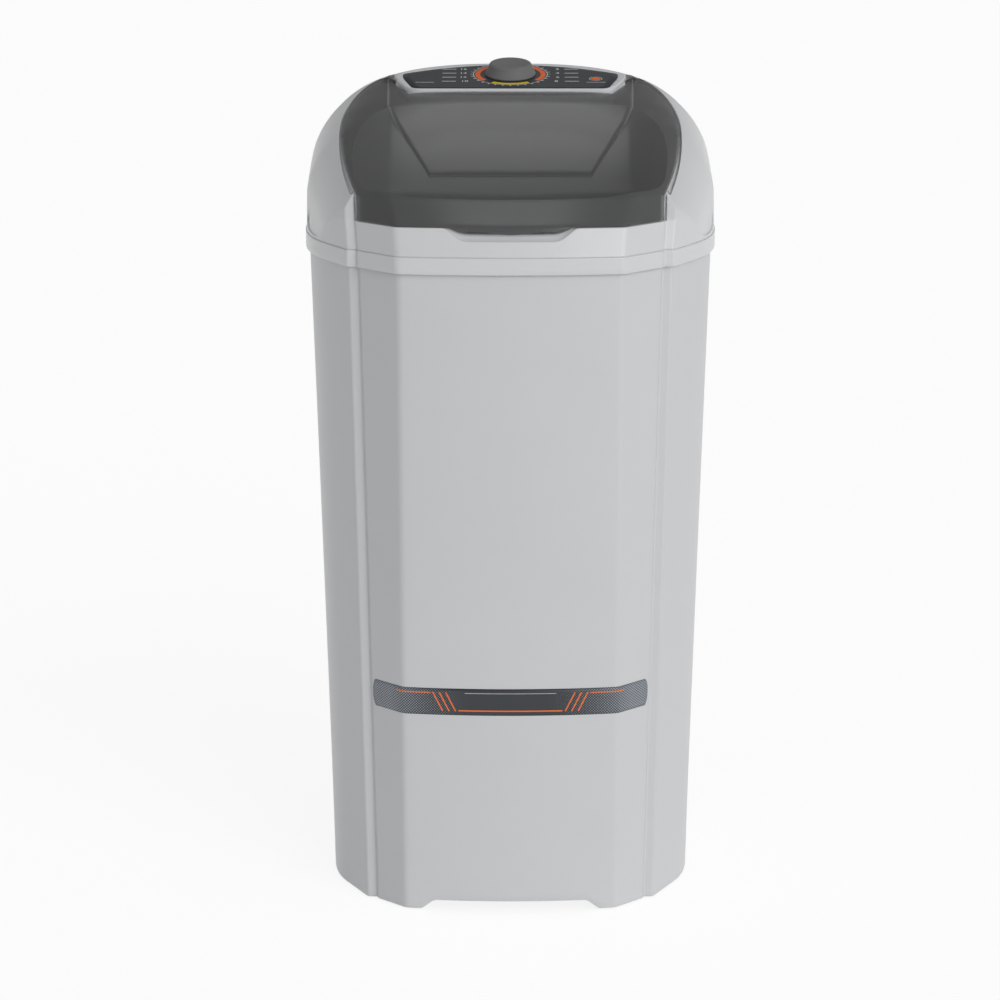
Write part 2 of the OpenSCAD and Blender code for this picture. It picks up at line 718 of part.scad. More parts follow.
module timer_knob() {
    dish = 1.6;
    r = knob_d / 2;
    rt = knob_top_d / 2;
    color([0.25, 0.25, 0.26]) on_panel() translate([0, knob_y, knob_gap]) difference() {
        rotate_extrude() polygon([[0, 0], [r - 1, 0], [r, 1.5], [r - 0.6, 3], [rt + 1, knob_h - 2],
            [rt, knob_h - 0.6], [rt - 1.5, knob_h], [rt - 4, knob_h - 0.6], [rt - 12, knob_h - dish],
            [0, knob_h - dish - 0.4]]);
        translate([0, 0, -1]) cylinder(d = timer_shaft_d, h = knob_h - 3);
        translate([0, 0, -1]) difference() {
            cylinder(r1 = r - 4, r2 = rt - 1, h = knob_h - 5);
            cylinder(r = 8, h = knob_h);
            for (a = [0 : 60 : 120]) rotate(a) translate([-r, -1, 0]) cube([2 * r, 2, knob_h]);
        }
    }
}
module timer_shaft() {
    color("silver") on_panel() translate([0, knob_y, -bezel_t - 20])
        cylinder(d = timer_shaft_d, h = 20 + bezel_t + knob_gap + knob_h - 4);
}
module timer_body() {
    color("ivory") on_panel() translate([0, knob_y, -bezel_t]) difference() {
        union() {
            translate([-timer_w / 2, -timer_w / 2, -timer_h]) cube([timer_w, timer_w, timer_h]);
            translate([-timer_w / 2 + 8, timer_w / 2 - 0.5, -timer_h + 4]) cube([timer_w - 16, 6, 12]);
        }
        cylinder(d = timer_shaft_d + 2 * run_clear, h = 42, center = true);
        for (s = [-1, 1]) translate([s * timer_w * 0.4, 0, 0]) cylinder(d = screw_d, h = 20, center = true);
        for (s = [-1, 1]) translate([s * timer_w / 2, 0, -timer_h / 2])
            cube([3, timer_w - 16, 4], center = true);
    }
}
module timer_screws() {
    color("silver") for (s = [-1, 1]) on_panel()
        translate([s * timer_w * 0.4, knob_y, -overlay_t - screw_d * 0.6]) pan_screw(screw_d, 13);
}

// Tub
tub_corner = 20;
corner_arc_steps = 6;
function tub_radius(z) = lerp(tub_r_floor, tub_r, (z - tub_z - tub_corner) / (cab_h - tub_z - tub_corner));
function tub_profile(t, top) = concat(
    [[0, well_z - t], [well_r + t, well_z - t], [well_r + 3 + t, tub_z - t]],
    [for (i = [0 : corner_arc_steps]) let (a = 90 * i / corner_arc_steps, r = tub_corner + t)
        [tub_r_floor - tub_corner + r * sin(a), tub_z + tub_corner - r * cos(a)]],
    [[tub_radius(top) + t, top], [0, top]]);
module tub_solid(t, top) {
    rotate_extrude($fn = 96) polygon(tub_profile(t, top));
}
drain_boss_r = 20;
spigot_len = 36;
rib_angles = [30, 90, 150, 270, 330];
module tub() {
    color("whitesmoke") difference() {
        union() {
            tub_solid(tub_wall, cab_h + flange_t);
            translate([0, 0, cab_h]) linear_extrude(height = flange_t) difference() {
                polygon(plan(grow(rim_sizes, -0.2)));
                circle(r = tub_r - 2, $fn = 96);
            }
            translate([0, 0, tub_under]) cylinder(r = hub_r, h = hub_t - 1);
            for (p = post_spots) translate([p[0], p[1], plate_z])
                cylinder(r = post_r, h = tub_z + 12 - plate_z);
            translate([outlet_x, drain_y, tub_z - 12]) cylinder(r = drain_boss_r, h = 11);
            translate([outlet_x, drain_y, tub_z - 12 - spigot_len])
                cylinder(r = hose_bore_r, h = spigot_len + 1);
            for (a = rib_angles) rotate([0, 0, a]) translate([tub_radius(360) + 1, 0, 360])
                rotate([0, atan((tub_radius(760) - tub_radius(360)) / 400), 0]) cylinder(r = 5, h = 380);
        }
        tub_solid(0, cab_h + flange_t + 1);
        for (p = post_spots) translate([p[0], p[1], plate_z - 1]) cylinder(d = screw_d, h = 22);
        translate([0, 0, tub_under - 1]) cylinder(r = collar_r + 0.3, h = 30);
        for (a = [45 : 90 : 315]) rotate([0, 0, a]) translate([bolt_circle, 0, tub_under - 1])
            cylinder(d = bolt_d, h = 8);
        translate([outlet_x, drain_y, tub_z - 60]) cylinder(d = drain_bore, h = 80);
        translate([outlet_x, drain_y, tub_z - grate_t]) cylinder(r = grate_r + 0.2, h = 20);
        translate([lead_x, lead_y, cab_h - 1]) cylinder(r = lead_r + 2, h = 10);
    }
}
collar_r = 19;
grate_r = 16.5;
grate_t = 2;
module drain_grate() {
    color("gray") translate([outlet_x, drain_y, tub_z - grate_t]) difference() {
        cylinder(r = grate_r, h = grate_t);
        for (y = [-9 : 4.5 : 9]) translate([-11 + abs(y) * 0.4, y - 1.2, -1])
            cube([22 - abs(y) * 0.8, 2.4, 5]);
    }
}

// Lint filter on the left wall of the tub
filter_x = -178;
filter_y = -40;
filter_z = 600;
slide_gap = 0.5;
rail_w = 6;
module filter_slot(g) {
    translate([filter_x - filter_t / 2 - g, filter_y - filter_w / 2 - g, filter_z - g])
        cube([filter_t + 2 * g, filter_w + 2 * g, filter_h + 60]);
}
module filter_channel() {
    color("whitesmoke") difference() {
        intersection() {
            translate([-240, filter_y - filter_w / 2 - rail_w, filter_z - rail_w])
                cube([240 + filter_x + filter_t / 2 + 3, filter_w + 2 * rail_w, filter_h]);
            rotate_extrude($fn = 96) polygon([[0, tub_z + tub_corner],
                [tub_r_floor - 0.3, tub_z + tub_corner],
                [tub_r - 0.3, cab_h], [0, cab_h]]);
        }
        filter_slot(slide_gap);
        translate([filter_x - 60, filter_y - filter_w / 2 + rail_w, filter_z - 1])
            cube([120, filter_w - 2 * rail_w, filter_h]);
    }
}
module filter_frame() {
    wall = 2;
    lip = 4;
    color("steelblue") translate([filter_x - filter_t / 2, filter_y - filter_w / 2, filter_z]) {
        difference() {
            cube([filter_t, filter_w, filter_h]);
            translate([wall, wall, wall])
                cube([filter_t - 2 * wall, filter_w - 2 * wall, filter_h - 2 * wall]);
            translate([filter_t - wall - 1, wall + lip, wall + lip])
                cube([10, filter_w - 2 * wall - 2 * lip, filter_h - 2 * wall - 2 * lip]);
            translate([-1, wall + lip, wall + lip])
                cube([10, filter_w - 2 * wall - 2 * lip, filter_h / 3]);
        }
        translate([filter_t / 2, filter_w / 2, filter_h]) rotate([90, 0, 90]) difference() {
            linear_extrude(height = 3, center = true)
                polygon([[-22, -0.5], [22, -0.5], [15, 17], [-15, 17]]);
            translate([0, 8, 0]) cylinder(r = 4, h = 20, center = true);
        }
    }
}
module filter_net() {
    rows = 13;
    cols = 8;
    wall = 2;
    lip = 4;
    strand = 1.6;
    w = filter_w - 2 * wall;
    h = filter_h - 2 * wall;
    pitch_y = (w - 2 * lip) / cols;
    pitch_z = (h - 2 * lip) / rows;
    color("lightgray") translate([filter_x + filter_t / 2 - wall - 1.2, filter_y - w / 2, filter_z + wall])
        difference() {
            cube([1.2, w, h]);
            for (i = [0 : cols - 1]) for (j = [0 : rows - 1])
                translate([-1, lip + i * pitch_y + strand / 2, lip + j * pitch_z + strand / 2])
                    cube([5, pitch_y - strand, pitch_z - strand]);
        }
}

// Agitator and drive
agitator_z = well_z + 3;
hub_h = 34;
socket_h = 24;
disc_rise = 30;
cap_r = 22;
module agitator() {
    r = agitator_d / 2;
    t = 4;
    color("lightsteelblue") difference() {
        union() {
            translate([0, 0, agitator_z]) rotate_extrude($fn = 96) polygon([[0, 0], [16, 0],
                [16, disc_rise - t - 2], [30, disc_rise - t - 4], [r * 0.55, 12], [r - 10, 6],
                [r - 3, 0], [r, 0], [r, 4], [r - 6, 11],
                [r * 0.55, 12 + t + 2], [34, disc_rise - 1], [cap_r + 3, hub_h], [0, hub_h]]);
            intersection() {
                for (a = [0 : 360 / fin_count : 359]) rotate([0, 0, a]) agitator_blade();
                translate([0, 0, agitator_z]) rotate_extrude($fn = 96) polygon([[cap_r + 1, 8],
                    [cap_r + 1, hub_h], [cap_r + 8, fin_h - 3], [cap_r + 16, fin_h], [r * 0.62, fin_h - 8],
                    [r - 22, 26], [r - 10, 15], [r - 10, 8]]);
            }
        }
        translate([0, 0, agitator_z - 1]) cylinder(d = shaft_d, h = socket_h + 1);
        cylinder(d = 6, h = 400);
        translate([0, 0, agitator_z + hub_h - 5]) cylinder(r = 7, h = 40);
        translate([0, 0, agitator_z + hub_h - 2]) cylinder(r = cap_r, h = 60);
    }
}
module agitator_blade() {
    bend_r = agitator_d * 0.42;
    t = 9;
    translate([0, -bend_r, agitator_z]) intersection() {
        difference() {
            cylinder(r = bend_r + t / 2, h = 80, $fn = 96);
            translate([0, 0, -1]) cylinder(r = bend_r - t / 2, h = 90, $fn = 96);
        }
        translate([0, 0, -1]) cube([agitator_d, agitator_d, 90]);
    }
}
module agitator_screw() {
    color("silver") translate([0, 0, agitator_z + hub_h - 5]) {
        translate([0, 0, -16]) cylinder(d = 6, h = 16.5);
        cylinder(r = 5, h = 3, $fn = 6);
    }
}
module agitator_cap() {
    color("steelblue") translate([0, 0, agitator_z + hub_h - 2]) rotate_extrude()
        polygon([[0, 2], [cap_r - 3, 0], [cap_r, 0], [cap_r, 2], [cap_r - 2, 7], [cap_r - 8, 11], [0, 13]]);
}
shaft_foot = belt_z - pulley_h / 2 - 14;
module agitator_shaft() {
    color("silver") translate([0, 0, shaft_foot]) difference() {
        cylinder(d = shaft_d, h = agitator_z + socket_h - shaft_foot);
        translate([0, 0, agitator_z + hub_h - 21 - shaft_foot]) cylinder(d = 6, h = 60);
    }
}
bush_r = 10;
bush_len = 20;
seal_r = 15;
seal_h = 7;
collar_top = well_z + 1;
module bearing_housing() {
    r = 24;
    color("darkgray") difference() {
        union() {
            rotate_extrude() polygon([[0, housing_foot], [bush_r + 6, housing_foot],
                [bush_r + 6, housing_foot + 24], [r, housing_z - 6], [r, housing_z],
                [housing_flange_r, housing_z], [housing_flange_r, housing_z + housing_flange_t],
                [collar_r, housing_z + housing_flange_t], [collar_r, collar_top], [0, collar_top]]);
            for (a = [0 : 45 : 315]) rotate([0, 0, a]) translate([r - 8, -1.5, housing_z - 16])
                cube([16, 3, 17]);
        }
        translate([0, 0, housing_foot - 1]) cylinder(r = bush_r, h = 100);
        translate([0, 0, collar_top - seal_h]) cylinder(r = seal_r, h = 20);
        for (a = [45 : 90 : 315]) rotate([0, 0, a]) translate([bolt_circle, 0, housing_z - 1])
            cylinder(d = bolt_d, h = 20);
    }
}
module shaft_bushes() {
    color("peru") for (z = [housing_foot, collar_top - seal_h - bush_len])
        translate([0, 0, z]) difference() {
        cylinder(r = bush_r, h = bush_len);
        translate([0, 0, -1]) cylinder(d = shaft_d + 2 * run_clear, h = bush_len + 2);
    }
}
module shaft_seal() {
    color([0.12, 0.12, 0.12]) translate([0, 0, collar_top - seal_h]) difference() {
        cylinder(r = seal_r, h = seal_h);
        translate([0, 0, -1]) cylinder(d = shaft_d + 0.2, h = seal_h + 2);
        translate([0, 0, seal_h - 2]) difference() {
            cylinder(r = seal_r - 2, h = 5);
            cylinder(d = shaft_d + 4, h = 5);
        }
    }
}
module housing_gasket() {
    color([0.15, 0.15, 0.15]) translate([0, 0, tub_under - gasket_t]) difference() {
        cylinder(r = housing_flange_r, h = gasket_t);
        translate([0, 0, -1]) cylinder(r = collar_r, h = 10);
        for (a = [45 : 90 : 315]) rotate([0, 0, a]) translate([bolt_circle, 0, -1])
            cylinder(d = bolt_d, h = 10);
    }
}
module housing_bolts() {
    color("silver") for (a = [45 : 90 : 315]) rotate([0, 0, a]) translate([bolt_circle, 0, housing_z])
        rotate([180, 0, 0]) hex_bolt(bolt_d, housing_flange_t + gasket_t + 6);
}
module grooved_pulley(d, bore, hub, web) {
    r = d / 2;
    h = pulley_h / 2;
    g = belt_w / 2 + 0.5;
    difference() {
        rotate_extrude($fn = 96) polygon(concat([[0, -h], [hub, -h]],
            web > 0 ? [[hub, -web], [r - 16, -web], [r - 14, -h]] : [],
            [[r - 1, -h], [r, 1 - h], [r, -g - 1], [r - belt_t - 1, -g], [r - belt_t - 1, g], [r, g + 1],
                [r, h - 1], [r - 1, h]],
            web > 0 ? [[r - 14, h], [r - 16, web], [hub, web]] : [],
            [[hub, h], [0, h]]));
        cylinder(d = bore, h = 60, center = true);
    }
}
module driven_pulley() {
    color("dimgray") translate([0, 0, belt_z]) difference() {
        union() {
            grooved_pulley(pulley_d, shaft_d, 20, 3);
            translate([0, 0, pulley_h / 2 - 1]) difference() {
                cylinder(r = 13, h = 4.7);
                cylinder(d = shaft_d, h = 20, center = true);
            }
        }
        for (a = [0 : 60 : 300]) rotate([0, 0, a]) translate([pulley_d * 0.26, 0, 0])
            cylinder(d = pulley_d * 0.17, h = 60, center = true);
    }
}
module pulley_nut() {
    color("silver") translate([0, 0, belt_z - pulley_h / 2 - 8]) difference() {
        union() {
            cylinder(r = 12, h = 6.5, $fn = 6);
            translate([0, 0, 6]) cylinder(r = 14, h = 2);
        }
        translate([0, 0, -1]) cylinder(d = shaft_d, h = 20);
    }
}
function tangent_quad(r1, r2) = let (a = asin((r1 - r2) / belt_centres))
    [[r1 * cos(a), r1 * sin(a)], [r2 * cos(a), belt_centres + r2 * sin(a)],
        [-r2 * cos(a), belt_centres + r2 * sin(a)], [-r1 * cos(a), r1 * sin(a)]];
module belt_outline(t) {
    r1 = pulley_d / 2 - belt_t - 0.7 + t;
    r2 = motor_pulley_d / 2 - belt_t - 0.7 + t;
    circle(r = r1, $fn = 96);
    translate([0, belt_centres]) circle(r = r2, $fn = 96);
    polygon(tangent_quad(r1, r2));
}
module drive_belt() {
    color([0.1, 0.1, 0.1]) translate([0, 0, belt_z - belt_w / 2]) linear_extrude(height = belt_w)
        difference() {
            belt_outline(belt_t);
            belt_outline(0);
        }
}
module motor_pulley() {
    color("silver") translate([0, belt_centres, belt_z])
        grooved_pulley(motor_pulley_d, motor_shaft_d, motor_pulley_d / 2 - 3, 0);
}
module motor_shaft() {
    color("silver") translate([0, belt_centres, motor_top - motor_h - 6])
        cylinder(d = motor_shaft_d, h = belt_z + pulley_h / 2 + 3 - motor_top + motor_h + 6);
}
motor_bolt_circle = 50;
module motor_body() {
    r = motor_d / 2;
    stack = motor_h * 0.45;
    bell = (motor_h - stack) / 2;
    color("slategray") translate([0, belt_centres, motor_top - motor_h]) difference() {
        union() {
            rotate_extrude($fn = 96) polygon([[0, 0], [18, 0], [18, 4], [r - 14, 6], [r - 5, 14],
                [r - 3, bell],
                [r, bell], [r, bell + stack], [r - 3, bell + stack], [r - 5, motor_h - 14],
                [r - 14, motor_h - 4], [20, motor_h - 4], [20, motor_h], [0, motor_h]]);
            for (a = [45 : 90 : 315]) rotate([0, 0, a]) translate([motor_bolt_circle, 0, motor_h - 24])
                cylinder(r = 6.5, h = 24);
            translate([-18, r - 8, bell + 6]) cube([36, 20, stack - 12]);
        }
        translate([0, 0, -1]) cylinder(d = motor_shaft_d + 2 * run_clear, h = motor_h + 2);
        for (a = [45 : 90 : 315]) rotate([0, 0, a]) translate([motor_bolt_circle, 0, motor_h - 18])
            cylinder(d = bolt_d, h = 30);
        for (a = [0 : 20 : 340]) rotate([0, 0, a]) for (z = [8, motor_h - 16])
            translate([r - 16, -2.5, z]) cube([10, 5, 8]);
    }
}
bracket_w = 192;
bracket_front = 100;
bracket_back = 214;
module motor_bracket() {
    color("silver") difference() {
        union() {
            translate([-bracket_w / 2, bracket_front, motor_top])
                cube([bracket_w, bracket_back - bracket_front, bracket_t]);
            for (y = [bracket_front, bracket_back - bracket_t])
                translate([-bracket_w / 2, y, motor_top - 9])
                cube([bracket_w, bracket_t, 10]);
        }
        translate([0, belt_centres, motor_top - 10]) cylinder(d = motor_d + 2, h = 10);
        translate([0, belt_centres, motor_top - 1]) cylinder(r = 24, h = 10);
        for (p = post_spots) translate([p[0], p[1], motor_top - 1]) cylinder(d = screw_d, h = 10);
        for (a = [45 : 90 : 315]) translate([0, belt_centres, motor_top - 1]) rotate([0, 0, a])
            translate([motor_bolt_circle, 0, 0]) cylinder(d = bolt_d, h = 10);
        for (s = [-1, 1]) translate([s * 60, belt_centres - 10, motor_top - 1])
            cube([6, 20, 10], center = true);
    }
}
module motor_bolts() {
    color("silver") translate([0, belt_centres, plate_z]) for (a = [45 : 90 : 315]) rotate([0, 0, a])
        translate([motor_bolt_circle, 0, 0]) hex_bolt(bolt_d, bracket_t + 14);
}
module bracket_screws() {
    color("silver") for (p = post_spots) translate([p[0], p[1], motor_top]) rotate([180, 0, 0])
        pan_screw(screw_d, bracket_t + 16);
}
cap_can_r = 18;
cap_can_h = 70;
cap_spot = [-125, 40];
module capacitor() {
    color("lightgray") translate([cap_spot[0], cap_spot[1], guard_z + guard_t + 2]) {
        rotate_extrude() polygon([[0, 0], [cap_can_r - 2, 0], [cap_can_r, 2], [cap_can_r, cap_can_h - 2],
            [cap_can_r - 2, cap_can_h], [cap_can_r - 3, cap_can_h - 2], [0, cap_can_h - 2]]);
        for (s = [-1, 1]) translate([s * 7, 0, cap_can_h + 2]) cube([5, 1, 10], center = true);
    }
}
module capacitor_clip() {
    color("gray") translate([cap_spot[0], cap_spot[1], guard_z + guard_t]) difference() {
        union() {
            cylinder(r = cap_can_r + 2.5, h = 34);
            translate([-cap_can_r - 12, -8, 0]) cube([2 * cap_can_r + 24, 16, 3]);
        }
        translate([0, 0, 2]) cylinder(r = cap_can_r, h = 60);
        translate([0, 0, 8]) cube([8, 80, 80], center = false);
    }
}

// Water and wires
module hose_elbow(r) {
    translate([outlet_x, drain_y + hose_bend, outlet_z + hose_bend]) rotate([0, -90, 0])
        rotate_extrude(angle = 90) translate([-hose_bend, 0]) circle(r = r, $fn = 48);
}
outlet_in = 26;
module drain_hose() {
    hose_r = hose_bore_r + hose_wall;
    hose_top = tub_z - 14;
    y_end = pocket_y - cab_wall - 3;
    color([0.15, 0.15, 0.15]) difference() {
        union() {
            translate([outlet_x, drain_y, outlet_z + hose_bend])
                cylinder(r = hose_r, h = hose_top - outlet_z - hose_bend);
            hose_elbow(hose_r);
            translate([outlet_x, drain_y + hose_bend, outlet_z]) rotate([-90, 0, 0])
                cylinder(r = hose_r, h = y_end - drain_y - hose_bend);
        }
        translate([outlet_x, drain_y, outlet_z + hose_bend]) cylinder(r = hose_bore_r + fit, h = 300);
        hose_elbow(hose_bore_r + fit);
        translate([outlet_x, drain_y + hose_bend, outlet_z]) rotate([-90, 0, 0])
            cylinder(r = hose_bore_r + fit, h = 300);
    }
}
module hose_outlet() {
    r = hose_bore_r;
    color([0.2, 0.2, 0.2]) translate([outlet_x, pocket_y, outlet_z]) rotate([-90, 0, 0]) difference() {
        rotate_extrude() polygon([[0, -cab_wall - outlet_in], [r, -cab_wall - outlet_in],
            [r, 0], [r + 8, 0], [r + 8, 3], [r - 2, 3], [r - 2, 10], [r, 12], [r - 2, 16], [r - 2, 18],
            [r, 20], [r - 2, 24], [r - 2, 26], [r - 0.5, 28], [r - 2.5, 33], [0, 33]]);
        translate([0, 0, -60]) cylinder(d = drain_bore, h = 120);
    }
}
module hose_hook() {
    r = 16;
    color("gainsboro") translate([outlet_x, channel_y, hook_z]) difference() {
        union() {
            translate([0, -channel_r + r + 3, 0]) cylinder(r = r + 3, h = 18);
            intersection() {
                translate([-9, -channel_r, 0]) cube([18, 8, 18]);
                cylinder(r = channel_r, h = 18);
            }
        }
        translate([0, -channel_r + r + 3, -1]) cylinder(r = r, h = 20);
        translate([-30, -1, -1]) cube([60, 60, 20]);
    }
}
module water_inlet() {
    bore = 15;
    drop_y = 165;
    bend = 18;
    color("whitesmoke") difference() {
        union() {
            translate([inlet_x, niche_y, inlet_z]) rotate([-90, 0, 0]) {
                cylinder(d = inlet_d, h = 16);
                cylinder(r = 19, h = 3);
            }
            translate([inlet_x, drop_y + bend, inlet_z]) rotate([-90, 0, 0])
                cylinder(d = inlet_d, h = niche_y - drop_y - bend + 1);
            translate([inlet_x, drop_y + bend, inlet_z - bend]) rotate([0, -90, 0])
                rotate_extrude(angle = -90) translate([bend, 0]) circle(d = inlet_d, $fn = 48);
            translate([inlet_x, drop_y, inlet_z - bend - 14]) cylinder(d = inlet_d, h = 14);
        }
        translate([inlet_x, drop_y + bend, inlet_z]) rotate([-90, 0, 0]) cylinder(d = bore, h = 100);
        translate([inlet_x, drop_y + bend, inlet_z - bend]) rotate([0, -90, 0])
            rotate_extrude(angle = -90) translate([bend, 0]) circle(d = bore, $fn = 48);
        translate([inlet_x, drop_y, inlet_z - bend - 30]) cylinder(d = bore, h = 30);
    }
}
module cord_gland() {
    wall_y = lerp(cab_d_foot, cab_d, gland_z / cab_h) / 2;
    color([0.12, 0.12, 0.12]) translate([gland_x, wall_y, gland_z]) rotate([-90, 0, 0]) difference() {
        rotate_extrude() polygon([[0, -cab_wall - 5], [gland_d / 2 + 2, -cab_wall - 3],
            [gland_d / 2 + 2, -cab_wall - 0.4], [gland_d / 2, -cab_wall - 0.4], [gland_d / 2, 0.4],
            [gland_d / 2 + 3, 0.4], [gland_d / 2 + 2, 4], [6.5, 7], [0, 7]]);
        cylinder(d = 8, h = 60, center = true);
    }
}
function panel_point(x, y, z) = panel_origin
    + [x, y * cos(panel_tilt) - z * sin(panel_tilt), y * sin(panel_tilt) + z * cos(panel_tilt)];
plug_y = knob_y + timer_w / 2 + 5.5;
plug_z = 10 - bezel_t - timer_h;
box_top = motor_top - motor_h * 0.275 - 6;
lead_path = [panel_point(lead_x, plug_y, plug_z), panel_point(lead_x, plug_y + 7, plug_z),
    [lead_x, 206, 972], [lead_x, 212, 956], [lead_x, 224, 922], [lead_x, lead_y, 896],
    [lead_x, lead_y, 600], [lead_x, lead_y, 340], [lead_x, 230, 220], [lead_x, 226, 180],
    [lead_x, 218, 150], [lead_x, 214, 136], [lead_x, 214, box_top]];
lead_sides = 8;
module sweep(path, r) {
    n = len(path);
    m = lead_sides;
    rings = [for (i = [0 : n - 1])
        let (d = path[min(n - 1, i + 1)] - path[max(0, i - 1)],
            t = d / norm(d),
            u0 = cross(t, [1, 0, 0]),
            u = u0 / norm(u0),
            v = cross(t, u))
        [for (k = [0 : m - 1]) path[i] + r * (cos(360 * k / m) * u + sin(360 * k / m) * v)]];
    polyhedron(
        points = [for (r = rings) each r],
        faces = concat(
            [[for (k = [m - 1 : -1 : 0]) k]],
            [for (i = [0 : n - 2]) for (k = [0 : m - 1]) let (a = i * m, b = a + m, j = (k + 1) % m)
                each [[a + k, a + j, b + j], [a + k, b + j, b + k]]],
            [[for (k = [0 : m - 1]) (n - 1) * m + k]]));
}
module wiring_lead() {
    color([0.9, 0.85, 0.7]) sweep(lead_path, lead_r);
}

cabinet();
base_guard();
rubber_feet();
base_screws();
front_strip();
top_cover();
cover_screws();
lid();
lid_bumpers();
lid_hinge_pins();
panel_bezel();
panel_overlay();
timer_knob();
timer_shaft();
timer_body();
timer_screws();
tub();
drain_grate();
filter_channel();
filter_frame();
filter_net();
agitator();
agitator_screw();
agitator_cap();
agitator_shaft();
bearing_housing();
shaft_bushes();
shaft_seal();
housing_gasket();
housing_bolts();
driven_pulley();
pulley_nut();
drive_belt();
motor_pulley();
motor_shaft();
motor_body();
motor_bracket();
motor_bolts();
bracket_screws();
capacitor();
capacitor_clip();
drain_hose();
hose_outlet();
hose_hook();
water_inlet();
cord_gland();
wiring_lead();
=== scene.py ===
"""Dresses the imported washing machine: smooth shells, smoky lid, dial panel and finishes."""

import json
import logging
import math
from dataclasses import dataclass, field
from enum import Enum
from typing import Any, Callable, Iterable, Sequence

import bmesh
import bpy
import numpy as np
from mathutils import Matrix, Vector


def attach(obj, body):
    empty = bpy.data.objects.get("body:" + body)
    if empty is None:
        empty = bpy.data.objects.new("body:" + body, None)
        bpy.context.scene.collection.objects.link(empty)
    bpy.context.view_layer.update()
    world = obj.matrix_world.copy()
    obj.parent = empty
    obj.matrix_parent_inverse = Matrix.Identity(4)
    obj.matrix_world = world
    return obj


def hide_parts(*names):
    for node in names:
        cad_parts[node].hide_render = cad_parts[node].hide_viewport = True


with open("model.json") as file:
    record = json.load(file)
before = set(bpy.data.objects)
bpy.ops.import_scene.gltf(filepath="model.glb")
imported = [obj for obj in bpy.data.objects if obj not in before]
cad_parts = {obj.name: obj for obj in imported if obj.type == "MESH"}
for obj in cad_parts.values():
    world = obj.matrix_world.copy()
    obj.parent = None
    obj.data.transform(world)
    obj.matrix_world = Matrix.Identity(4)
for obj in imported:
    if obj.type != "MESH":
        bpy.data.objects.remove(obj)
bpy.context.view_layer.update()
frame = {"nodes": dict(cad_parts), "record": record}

LOG = logging.getLogger("washer")
MM = 0.001
Array = np.ndarray
Colour = tuple[float, float, float]
Point = tuple[float, float, float]

# The dial panel's front middle in millimetres and its slope, which the cover's pocket follows.
PANEL_Y = 92.0
PANEL_Z = 992.0
PANEL_TILT = math.radians(11)
PANEL_HALF = 148.5
# The drain outlet's place across the back and its mid height, in metres.
OUTLET_X = 0.120
OUTLET_Z = 0.095
# Two curves for one side of the lid, from its front corner to its widest place and on to its ear,
# and two for half the laundry mouth, from its front corner to its widest place and on to the back.
LID_SIDE = (
    ((187, -172), (200, -112), (214.5, -40), (214.5, 45)),
    ((214.5, 45), (214.5, 110), (195.1, 176), (150.1, 176)),
)
MOUTH_SIDE = (
    ((85, -198.3), (135, -194), (186, -165), (190, -90)),
    ((190, -90), (198, -40), (200, 60), (150, 66)),
)


# Shader graphs


class Sock:
    """One output socket of a shader graph, which turns Python operators into Math nodes."""

    def __init__(self, graph: "Graph", out: bpy.types.NodeSocket) -> None:
        """Keeps the graph and the socket."""
        self.graph = graph
        self.out = out

    def math(self, operation: str, *others: "Sock | float", swap: bool = False) -> "Sock":
        """Adds one Math node.

        Args:
            operation: The Math node's operation.
            others: The further operands, links or numbers.
            swap: Puts the first of the others before this socket.

        Returns:
            The node's result.
        """
        values: list[Any] = [self, *others]
        if swap:
            values[0], values[1] = values[1], values[0]
        return self.graph.add("ShaderNodeMath", {"operation": operation}, dict(enumerate(values)))

    def __add__(self, other: "Sock | float") -> "Sock":
        """Sum of the two."""
        return self.math("ADD", other)

    __radd__ = __add__

    def __sub__(self, other: "Sock | float") -> "Sock":
        """This less the other."""
        return self.math("SUBTRACT", other)

    def __rsub__(self, other: float) -> "Sock":
        """The other less this."""
        return self.math("SUBTRACT", other, swap=True)

    def __mul__(self, other: "Sock | float") -> "Sock":
        """Product of the two."""
        return self.math("MULTIPLY", other)

    __rmul__ = __mul__

    def __truediv__(self, other: "Sock | float") -> "Sock":
        """This divided by the other."""
        return self.math("DIVIDE", other)

    def __gt__(self, other: "Sock | float") -> "Sock":
        """1 where this is greater, otherwise 0."""
        return self.math("GREATER_THAN", other)

    def __lt__(self, other: "Sock | float") -> "Sock":
        """1 where this is less, otherwise 0."""
        return self.math("LESS_THAN", other)

    def __abs__(self) -> "Sock":
        """Absolute value."""
        return self.math("ABSOLUTE")

    def other(self, name: str) -> "Sock":
        """Another output of the same node."""
        return Sock(self.graph, self.out.node.outputs[name])

    def between(self, low: float, high: float) -> "Sock":
        """1 between two numbers, otherwise 0."""
        return (self > low) * (self < high)

    def ramp(self, low: float, high: float) -> "Sock":
        """Rises from 0 at low to 1 at high, and stays there.

        Args:
            low: Value that gives 0.
            high: Value that gives 1.

        Returns:
            The clamped value.
        """
        inputs = {"Value": self, "From Min": low, "From Max": high}
        return self.graph.add("ShaderNodeMapRange", {"clamp": True}, inputs)


